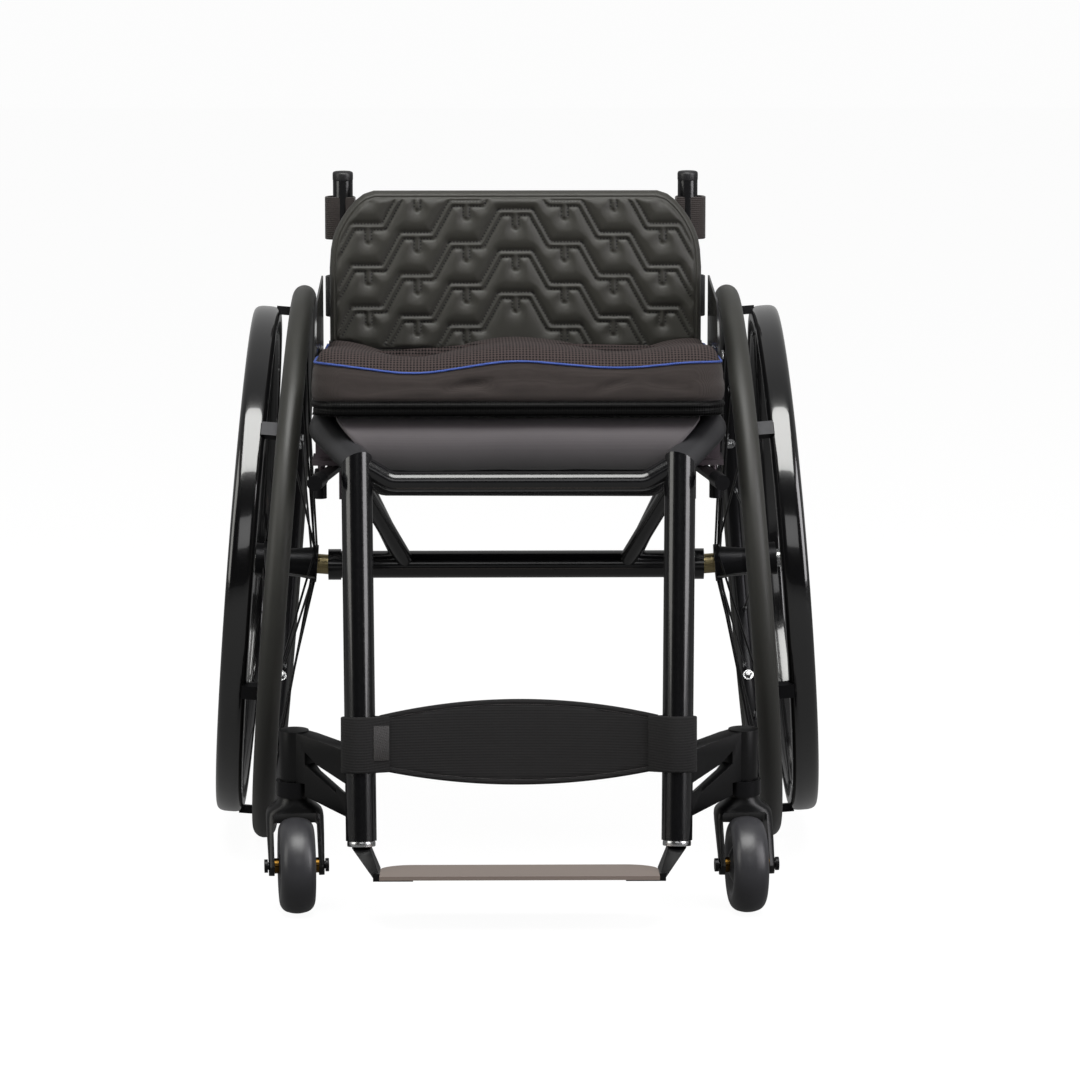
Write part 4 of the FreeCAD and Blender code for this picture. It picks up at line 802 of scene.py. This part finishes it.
bag = make("seat_bag", skin([full[:length] for full in dense]), bag_nylon, "frame",
           replaced=["under_seat_bag"], crease=60)
piping = [closed_cord(rings[i], [Vector((0, 1, 0))] * len(rings[i]), 0.0016, 8) for i in PIPED_RINGS]
zip_y = BAG_FRONT + BAG_LONG
zip_bar = rod((-0.118, zip_y, ZIP_HEIGHT), (0.118, zip_y, ZIP_HEIGHT), (0.0022, 0.0022), 8)
make("seat_bag_piping", joined(piping + [zip_bar]), thread, "frame")


# Cushion. A boxed foam cushion with a raised middle and a hollow for each thigh: spacer mesh on top,
# smooth brown knit round the sides, blue piping between them, and a black non-slip base with a cord.
CUSHION_FRONT = -0.2485
CUSHION_BACK = 0.1060
CUSHION_HALF = 0.2150
CUSHION_BETWEEN_GUARDS = 0.2102
FRONT_CORNER = 0.034
BACK_CORNER = 0.026
SPINE_REACH = 0.150
SPINE_Y = -0.071
BASE_TALL = 0.0150
WALL_TALL = 0.0560
BASE_LIFT = 0.0029
TOP_REACH = 0.172
HOLLOW_DEEP = 0.0110
HOLLOW_OUT = 0.112
HOLLOW_WIDE = 0.042
ROUND_COUNT = 340
crest = ((-0.2160, 0.0560), (-0.2082, 0.0567), (-0.1619, 0.0505), (-0.1084, 0.0432), (-0.0683, 0.0489),
         (-0.0209, 0.0572), (0.0027, 0.0588), (0.0532, 0.0536), (0.1046, 0.0495), (0.1407, 0.0526),
         (0.1880, 0.0578), (0.2065, 0.0561), (0.2160, 0.0555))


def piping_height(x):
    """How high the piping runs above the base, smoothed between the places measured across the front."""
    places = [x + offset for offset in (-0.024, -0.016, -0.008, 0, 0.008, 0.016, 0.024)]
    return float(np.mean(np.interp(places, [c[0] for c in crest], [c[1] for c in crest])))


def hollow(x, y):
    """How much deeper the two thigh hollows get towards the back."""
    deepened = max(0.0, min(1.0, (y + 0.20) / 0.25))
    return HOLLOW_DEEP * math.exp(-((abs(x) - HOLLOW_OUT) / HOLLOW_WIDE) ** 2) * deepened


def cushion_base(y):
    """The height of the cushion's underside at a distance along the chair."""
    return seat_top(y) + BASE_LIFT


def half_at(y):
    """Half the cushion's width: full in front of the side guards, a little less between them."""
    return float(np.interp(y, (-0.1382, -0.1098), (CUSHION_HALF, CUSHION_BETWEEN_GUARDS)))


outline = []
for side, end, corner, start in (
        (1, CUSHION_FRONT, FRONT_CORNER, -90), (1, CUSHION_BACK, -BACK_CORNER, 0),
        (-1, CUSHION_BACK, -BACK_CORNER, 90), (-1, CUSHION_FRONT, FRONT_CORNER, 180)):
    centre = Vector((side * (CUSHION_HALF - abs(corner)), end + corner, 0))
    for i in range(10):
        turn = math.radians(start + 10 * i)
        outline.append(centre + abs(corner) * Vector((math.cos(turn), math.sin(turn), 0)))
even = []
lengths = [(outline[(i + 1) % len(outline)] - p).length for i, p in enumerate(outline)]
stops = np.cumsum([0] + lengths)
for i in range(ROUND_COUNT):
    where = stops[-1] * i / ROUND_COUNT
    j = int(np.searchsorted(stops, where, side="right")) - 1
    p, q = outline[j], outline[(j + 1) % len(outline)]
    even.append(p.lerp(q, (where - stops[j]) / lengths[j]))
outs = []
for i in range(ROUND_COUNT):
    along = even[(i + 1) % ROUND_COUNT] - even[i - 1]
    outs.append(Vector((along.y, -along.x, 0)).normalized())
spine = [Vector((max(-SPINE_REACH, min(SPINE_REACH, p.x)), SPINE_Y, 0)) for p in even]
# Each fold runs from one place on the front to another (x, z, x, z), with a depth and a width.
folds = ((-0.078, 0.5420, -0.030, 0.5520, 0.0030, 0.0042), (-0.060, 0.5500, -0.020, 0.5425, 0.0020, 0.0045),
         (0.075, 0.5400, 0.112, 0.5520, 0.0027, 0.0046), (-0.190, 0.5440, -0.120, 0.5400, 0.0019, 0.0050),
         (0.140, 0.5480, 0.190, 0.5420, 0.0022, 0.0050))


def fold_depth(x, z):
    """How far the knit is drawn in at a place on the front, where slack gathers in short folds."""
    depth = 0.0
    for x0, z0, x1, z1, deep, wide in folds:
        span = Vector((x1 - x0, z1 - z0))
        offset = Vector((x - x0, z - z0))
        share = max(0.0, min(1.0, offset.dot(span) / span.length_squared))
        away = (offset - span * share).length
        depth += deep * math.exp(-(away / wide) ** 2) * math.sin(math.pi * share * 0.8 + 0.3)
    return depth


# The wall from the base up: heights at the middle of a full wall, and how far each stands out or in. The
# first ones shape the base's hem and its cord, up to the seam where the knit starts.
walls = ((0.0006, -0.0040), (0.0016, -0.0028), (0.0036, -0.0022), (0.0060, -0.0022), (0.0076, -0.0026),
         (0.0084, -0.0014), (0.0094, -0.0004), (0.0108, 0.0), (0.0122, -0.0004), (0.0132, -0.0014),
         (0.0140, -0.0034), (BASE_TALL, -0.0040), (0.0157, -0.0034), (0.0168, -0.0022), (0.0190, -0.0014),
         (0.0220, -0.0009), (0.0260, -0.0006), (0.0300, -0.0007), (0.0340, -0.0010), (0.0380, -0.0015),
         (0.0420, -0.0020), (0.0460, -0.0026), (0.0500, -0.0034), (0.0530, -0.0042), (0.0548, -0.0050),
         (0.0558, -0.0060))
BASE, SIDE, TOP = 0, 1, 2
rings, kinds = [], []
for share in (0.02, 0.25, 0.5, 0.75, 0.93, 0.985):
    ring = [s + (p - s) * share for p, s in zip(even, spine)]
    for point in ring:
        point.x *= half_at(point.y) / CUSHION_HALF
        point.z = cushion_base(point.y)
    rings.append(ring)
    kinds.append(BASE)
for height, out in walls:
    kind = SIDE if height > BASE_TALL else BASE
    ring = []
    for p, n in zip(even, outs):
        flat = Vector((p.x * half_at(p.y) / CUSHION_HALF, p.y, 0))
        tall = piping_height(flat.x) - hollow(flat.x, flat.y)
        h = height
        extra = 0.0
        if kind == SIDE:
            h = BASE_TALL + (height - BASE_TALL) * (tall - BASE_TALL) / (WALL_TALL - BASE_TALL)
            swell = math.sin(math.pi * min(1, (height - BASE_TALL) / 0.0408))
            extra = 0.0010 * noise.noise(Vector((flat.x * 22, flat.y * 22, h * 45))) * swell
            extra += 0.0005 * noise.noise(Vector((flat.x * 60, flat.y * 60, h * 90))) * swell
            extra -= 0.0007 * math.exp(-((h / tall - 0.66) / 0.05) ** 2)
            if n.y < -0.6:
                extra -= fold_depth(flat.x, cushion_base(flat.y) + h) * swell
        ring.append(Vector((flat.x, flat.y, cushion_base(flat.y) + h)) + n * (out + extra))
    rings.append(ring)
    kinds.append(kind)
piping_path = rings[-2]
edge = [Vector((p.x, p.y, 0)) for p in rings[-1]]
for inward in (0.0016, 0.0032, 0.0055, 0.0085, 0.012, 0.017, 0.023, 0.030, 0.038, 0.047, 0.057, 0.068,
               0.080, 0.093, 0.106, 0.119, 0.132, 0.145, 0.156, 0.166, 0.170):
    ring = []
    for p, s in zip(edge, spine):
        reach = p - s
        share = max(0.015, 1 - inward / TOP_REACH)
        q = s + reach * share
        deep = (p - q).length
        z = cushion_base(q.y) + piping_height(q.x) - hollow(q.x, q.y)
        crown = float(np.interp(q.y, (-0.20, 0.08), (0.0150, 0.0075)))
        z += crown * (1 - math.exp(-deep / 0.011)) - 0.0004
        z += 0.0007 * noise.noise(Vector((q.x * 18, q.y * 14, 7.0))) * min(1, deep / 0.02)
        ring.append(Vector((q.x, q.y, z)))
    rings.append(ring)
    kinds.append(TOP)

base_grip = cloth("black_non_slip_base", "020202", "050505", 0.0026, 0.0002, roughness=0.5, sheen=0.0,
                  ior=1.25)
side_knit = cloth("brushed_brown_knit", "2b2523", "352e2c", 0.0009, 0.0001, roughness=0.95, sheen=0.08)
# Holes 4.8 mm apart in crossed rows, the pitch of the photographed cloth; the knit sinks into each one.
HOLE_PITCH = 0.00483
mesh_top, tree = blank_material("spacer_mesh_fabric")
place = shader_node(tree, "TexCoord", {})
across = shader_node(tree, "SeparateXYZ", {0: (place, "Object")})
along = shader_node(tree, "VectorMath", {"operation": "DOT_PRODUCT", 0: (place, "Object"),
                                         1: (0, 0.42, 0.95)})
slope = shader_node(tree, "CombineXYZ", {"X": (across, "X"), "Y": (along, "Value")})
slope = shader_node(tree, "Mapping", {"vector_type": "POINT", "Vector": (slope, 0),
                                      "Rotation": (0, 0, math.radians(45)),
                                      "Scale": (2 * math.pi / HOLE_PITCH, 2 * math.pi / HOLE_PITCH, 1.0)})
dots = shader_node(tree, "VectorMath", {"operation": "SINE", 0: (slope, 0)})
dots = shader_node(tree, "SeparateXYZ", {0: (dots, 0)})
holes = shader_node(tree, "Math", {"operation": "MULTIPLY", 0: (dots, "X"), 1: (dots, "Y")})
holes = shader_node(tree, "MapRange", {"Value": (holes, 0), "From Min": 0.0, "From Max": 0.45})
shade = shader_node(tree, "Mix", {"data_type": "RGBA", "Factor": (holes, 0), 6: linear("3b3231"),
                                  7: linear("050404")})
relief = shader_node(tree, "Bump", {"Height": (holes, 0), "Strength": 0.6, "Distance": 0.0008,
                                    "invert": True})
coat(tree, {"Base Color": (shade, 2), "Normal": (relief, 0), "Roughness": 0.95, "IOR": 1.35})

cushion = make("boxed_cushion", skin(rings), base_grip, "frame",
               replaced=["cushion"], crease=70)
cushion.data.materials.append(side_knit)
cushion.data.materials.append(mesh_top)
for face in cushion.data.polygons:
    ring = face.index // ROUND_COUNT
    face.material_index = kinds[ring + 1] if ring < len(rings) - 1 else TOP
piping_cord = cloth("blue_woven_piping", "23397a", "314c98", 0.0020, 0.0002, roughness=0.7, sheen=0.05)
cushion_piping = make("cushion_piping", closed_cord(piping_path, outs, 0.00115, 10, out=0.0008, up=0.0003),
                      piping_cord, "frame")
for piece in (cushion, cushion_piping):
    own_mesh(piece)


# Backrest posts' caps. Moulded nylon plugs with a rounded rim, pressed into the open tops of the posts.
# They are duller than the coat below them.
POST_TOP = (0.1905, 0.1665, 0.7170)
cap_profile = ((0.0108, 0.0), (0.0111, 0.0003), (0.0113, 0.0010), (0.0113, 0.0070), (0.0111, 0.0083),
               (0.0104, 0.0093), (0.0090, 0.0098), (0.0060, 0.0100), (0.0020, 0.0100))
caps = []
for k in SIDES.values():
    top = Vector((k * POST_TOP[0], POST_TOP[1], POST_TOP[2]))
    caps.append(skin([[Vector((radius * math.cos(t), radius * math.sin(t), height)) + top for t in angles(48)]
                      for radius, height in cap_profile]))
make("post_end_caps", joined(caps), core_nylon, "backrest", replaced=["post_caps"])


# Backrest pad. Foam behind quilted black leatherette. Double rows of stitching draw stepped channels
# down from the middle to both sides, the cells between them swell, and a seam borders the whole pad.
PAD_TOP = 0.7080
PAD_BASE = 0.5270
PAD_TALL = PAD_TOP - PAD_BASE
PAD_HALF = 0.2050
PAD_FRONT = 0.1288
PAD_BACK = 0.1552
PAD_MIDDLE = PAD_FRONT + 0.0140
PAD_STEP = 0.0018
EDGE_ROUND = 0.0120
FIRST_ROW = 0.6850
STEP_ROW = 0.0460
FLAT = 0.0340
SLANT = 0.0200
FALL = 0.0360
SPUR = 0.0150
CHANNEL_HALF = 0.0034
STITCH_LONG = 0.0036
BORDER_SEAM = 0.0064
# The outline's shares of the half width and of the height down from the top.
pad_shares = ((0.76, 0.0), (0.815, 0.02), (0.86, 0.06), (0.90, 0.112), (0.935, 0.17), (0.965, 0.235),
              (0.982, 0.29), (0.993, 0.36), (1.0, 0.47), (1.0, 0.92), (0.975, 0.937),
              (0.91, 0.957), (0.855, 0.975), (0.825, 1.0))
corner_x = np.array([PAD_HALF * wide for wide, deep in pad_shares])
corner_z = np.array([PAD_TOP - PAD_TALL * deep for wide, deep in pad_shares])


def spaced(length, step):
    """Places along a length, close together at both ends where the pad rounds over."""
    near = [0.0, 0.0002, 0.0006, 0.0012, 0.0020, 0.0030, 0.0041, 0.0052, 0.0060, 0.0067, 0.0074, 0.0084,
            0.0096, 0.0110]
    inner = max(1, round((length - 2 * near[-1]) / step))
    places = near + [near[-1] + (length - 2 * near[-1]) * i / inner for i in range(1, inner)]
    return np.array(places + [length - n for n in reversed(near)]) / length


def run_to(x0, z0, x1, z1):
    """The grid's distance from a line, and how far along it the nearest place lies, as a share."""
    span_x, span_z = x1 - x0, z1 - z0
    share = ((np.abs(x_grid) - x0) * span_x + (z_grid - z0) * span_z) / (span_x ** 2 + span_z ** 2)
    share = np.clip(share, 0, 1)
    return np.hypot(np.abs(x_grid) - x0 - share * span_x, z_grid - z0 - share * span_z), share


down = spaced(PAD_TALL, PAD_STEP)
over = spaced(2 * PAD_HALF, PAD_STEP) * 2 - 1
z_grid = (PAD_TOP - down * PAD_TALL)[:, None] * np.ones(len(over))[None, :]
x_grid = over[None, :] * np.interp(-z_grid, -corner_z, corner_x)
edge_away = np.minimum(PAD_TOP - z_grid, z_grid - PAD_BASE)
for i in range(len(corner_x) - 1):
    away, share = run_to(corner_x[i], corner_z[i], corner_x[i + 1], corner_z[i + 1])
    edge_away = np.minimum(edge_away, away)
runs = []
for row in range(-2, 6):
    x, z = 0.0, FIRST_ROW + STEP_ROW * row
    travelled = 0.0
    for dx, dz in [(FLAT / 2, 0.0)] + [(SLANT, -FALL), (FLAT, 0.0)] * 4:
        runs.append((x, z, x + dx, z + dz, travelled))
        travelled += math.hypot(dx, dz)
        x, z = x + dx, z + dz
        if dz == 0:
            runs.append((x - FLAT / 2, z, x - FLAT / 2, z - SPUR, 0.0))
closest = np.full(x_grid.shape, 9.0)
stitch_run = np.zeros(x_grid.shape)
for x0, z0, x1, z1, travelled in runs:
    away, share = run_to(x0, z0, x1, z1)
    nearer = away < closest
    closest = np.where(nearer, away, closest)
    stitch_run = np.where(nearer, travelled + share * math.hypot(x1 - x0, z1 - z0), stitch_run)
inside = np.clip((edge_away - 0.0070) / 0.0050, 0, 1)
inside = inside * inside * (3 - 2 * inside)
puffed = 0.0036 * (1 - np.exp(-(np.maximum(closest - CHANNEL_HALF, 0) / 0.0062) ** 1.25))
rib = 0.0018 * np.cos(np.clip(closest / CHANNEL_HALF, 0, 1) * math.pi / 2)
groove = 0.0016 * np.exp(-((closest - CHANNEL_HALF) / 0.0010) ** 2)
seam = 0.0016 * np.exp(-((edge_away - BORDER_SEAM) / 0.0009) ** 2)
border = 0.0010 * (1 - inside) * np.clip(edge_away / 0.003, 0, 1)
quilting = (puffed + rib - groove) * inside - seam + border
curl = 1 - np.sqrt(1 - (1 - np.clip(edge_away, 0, EDGE_ROUND) / EDGE_ROUND) ** 2)
y_front = np.minimum(PAD_FRONT + 0.0040 - quilting + 0.0100 * curl, PAD_MIDDLE)
y_front = np.where(edge_away < 1e-6, PAD_MIDDLE, y_front)
y_back = np.maximum(PAD_BACK - 0.0004 - 0.0110 * curl, PAD_MIDDLE + 0.0002)
pad_sides = []
for y_grid in (y_front, y_back):
    pad_sides.append([Vector(place) for place in zip(x_grid.ravel(), y_grid.ravel(), z_grid.ravel())])

# The embossed grain is cells about 1.1 mm across; it breaks up the gloss on each swollen cell.
leatherette, tree = blank_material("quilted_leatherette")
place = shader_node(tree, "TexCoord", {})
pores = shader_node(tree, "TexVoronoi", {"feature": "DISTANCE_TO_EDGE", "Vector": (place, "Object"),
                                         "Scale": 1000 / 1.11})
pits = shader_node(tree, "MapRange", {"Value": (pores, 0), "From Max": 0.25})
from_line = shader_node(tree, "Attribute", {"attribute_name": "channel_distance"})
line_run = shader_node(tree, "Attribute", {"attribute_name": "stitch_run"})
seam_away = shader_node(tree, "Math", {"operation": "SUBTRACT", 0: (from_line, "Fac"), 1: CHANNEL_HALF})
seam_away = shader_node(tree, "Math", {"operation": "ABSOLUTE", 0: (seam_away, 0)})
on_seam = shader_node(tree, "MapRange", {"Value": (seam_away, 0), "From Min": 0.0006, "From Max": 0.0013,
                                         "To Min": 1.0, "To Max": 0.0})
dash = shader_node(tree, "Math", {"operation": "MULTIPLY", 0: (line_run, "Fac"),
                                  1: 2 * math.pi / STITCH_LONG})
dash = shader_node(tree, "Math", {"operation": "SINE", 0: (dash, 0)})
dash = shader_node(tree, "MapRange", {"Value": (dash, 0), "From Min": -0.25, "From Max": 0.15})
thread_here = shader_node(tree, "Math", {"operation": "MULTIPLY", 0: (on_seam, 0), 1: (dash, 0)})
needle_hole = shader_node(tree, "Math", {"operation": "SUBTRACT", 0: (on_seam, 0), 1: (thread_here, 0)})
shade = shader_node(tree, "Mix", {"data_type": "RGBA", "Factor": (needle_hole, 0), 6: linear("2d2c27"),
                                  7: linear("020202")})
shade = shader_node(tree, "Mix", {"data_type": "RGBA", "Factor": (thread_here, 0), 6: (shade, 2),
                                  7: linear("3c3b36")})
deep = shader_node(tree, "Math", {"operation": "MULTIPLY_ADD", 0: (thread_here, 0), 1: 3.0, 2: (pits, 0)})
relief = shader_node(tree, "Bump", {"Height": (deep, 0), "Strength": 0.35, "Distance": 0.0003})
dull = shader_node(tree, "MapRange", {"Value": (pits, 0), "To Min": 0.56, "To Max": 0.40})
coat(tree, {"Base Color": (shade, 2), "Roughness": (dull, 0), "Normal": (relief, 0), "IOR": 1.5,
            "Sheen Weight": 0.1})
pad = make("quilted_backrest_pad", two_sided(*pad_sides, len(over)), leatherette, "backrest",
           replaced=["backrest_pad"], crease=180)
for label, values in (("channel_distance", closest + (1 - inside) * 0.02), ("stitch_run", stitch_run)):
    attribute = pad.data.attributes.new(label, "FLOAT", "POINT")
    on_back = np.full(values.size, 0.05)
    attribute.data.foreach_set("value", np.concatenate([values.ravel(), on_back]).astype(np.float32))


# Backrest straps. Two webbing loops on each side that hold the pad to its post: brown elastic at the
# top, black webbing below.
brown_elastic = cloth("brown_woven_elastic", "211c1a", "2d2624", 0.0022, 0.0004, (0.3, 0.3, 1.0))
black_strap = cloth("black_nylon_webbing", "121213", "222224", 0.0024, 0.0004, (0.3, 0.3, 1.0))
strap_path = ((0.1785, 0.1574), (0.1860, 0.1571), (0.1940, 0.1571), (0.2010, 0.1576), (0.2058, 0.1592),
              (0.2086, 0.1622), (0.2094, 0.1665), (0.2086, 0.1712), (0.2060, 0.1752), (0.2015, 0.1780),
              (0.1960, 0.1793), (0.1900, 0.1795), (0.1845, 0.1785), (0.1805, 0.1755), (0.1785, 0.1700),
              (0.1775, 0.1640))
for name, low, high, fabric in (("upper", 0.6520, 0.6990, brown_elastic),
                                ("lower", 0.5660, 0.6110, black_strap)):
    for side, k in SIDES.items():
        path = [Vector((k * x, y, (low + high) / 2)) for x, y in strap_path]
        shape = swept(path, rounded(0.0011, (high - low) / 2, 0.0009), closed=True)
        strap = make("backrest_strap_%s_%s" % (name, side), shape, fabric, "backrest",
                     replaced=["backrest_straps"])
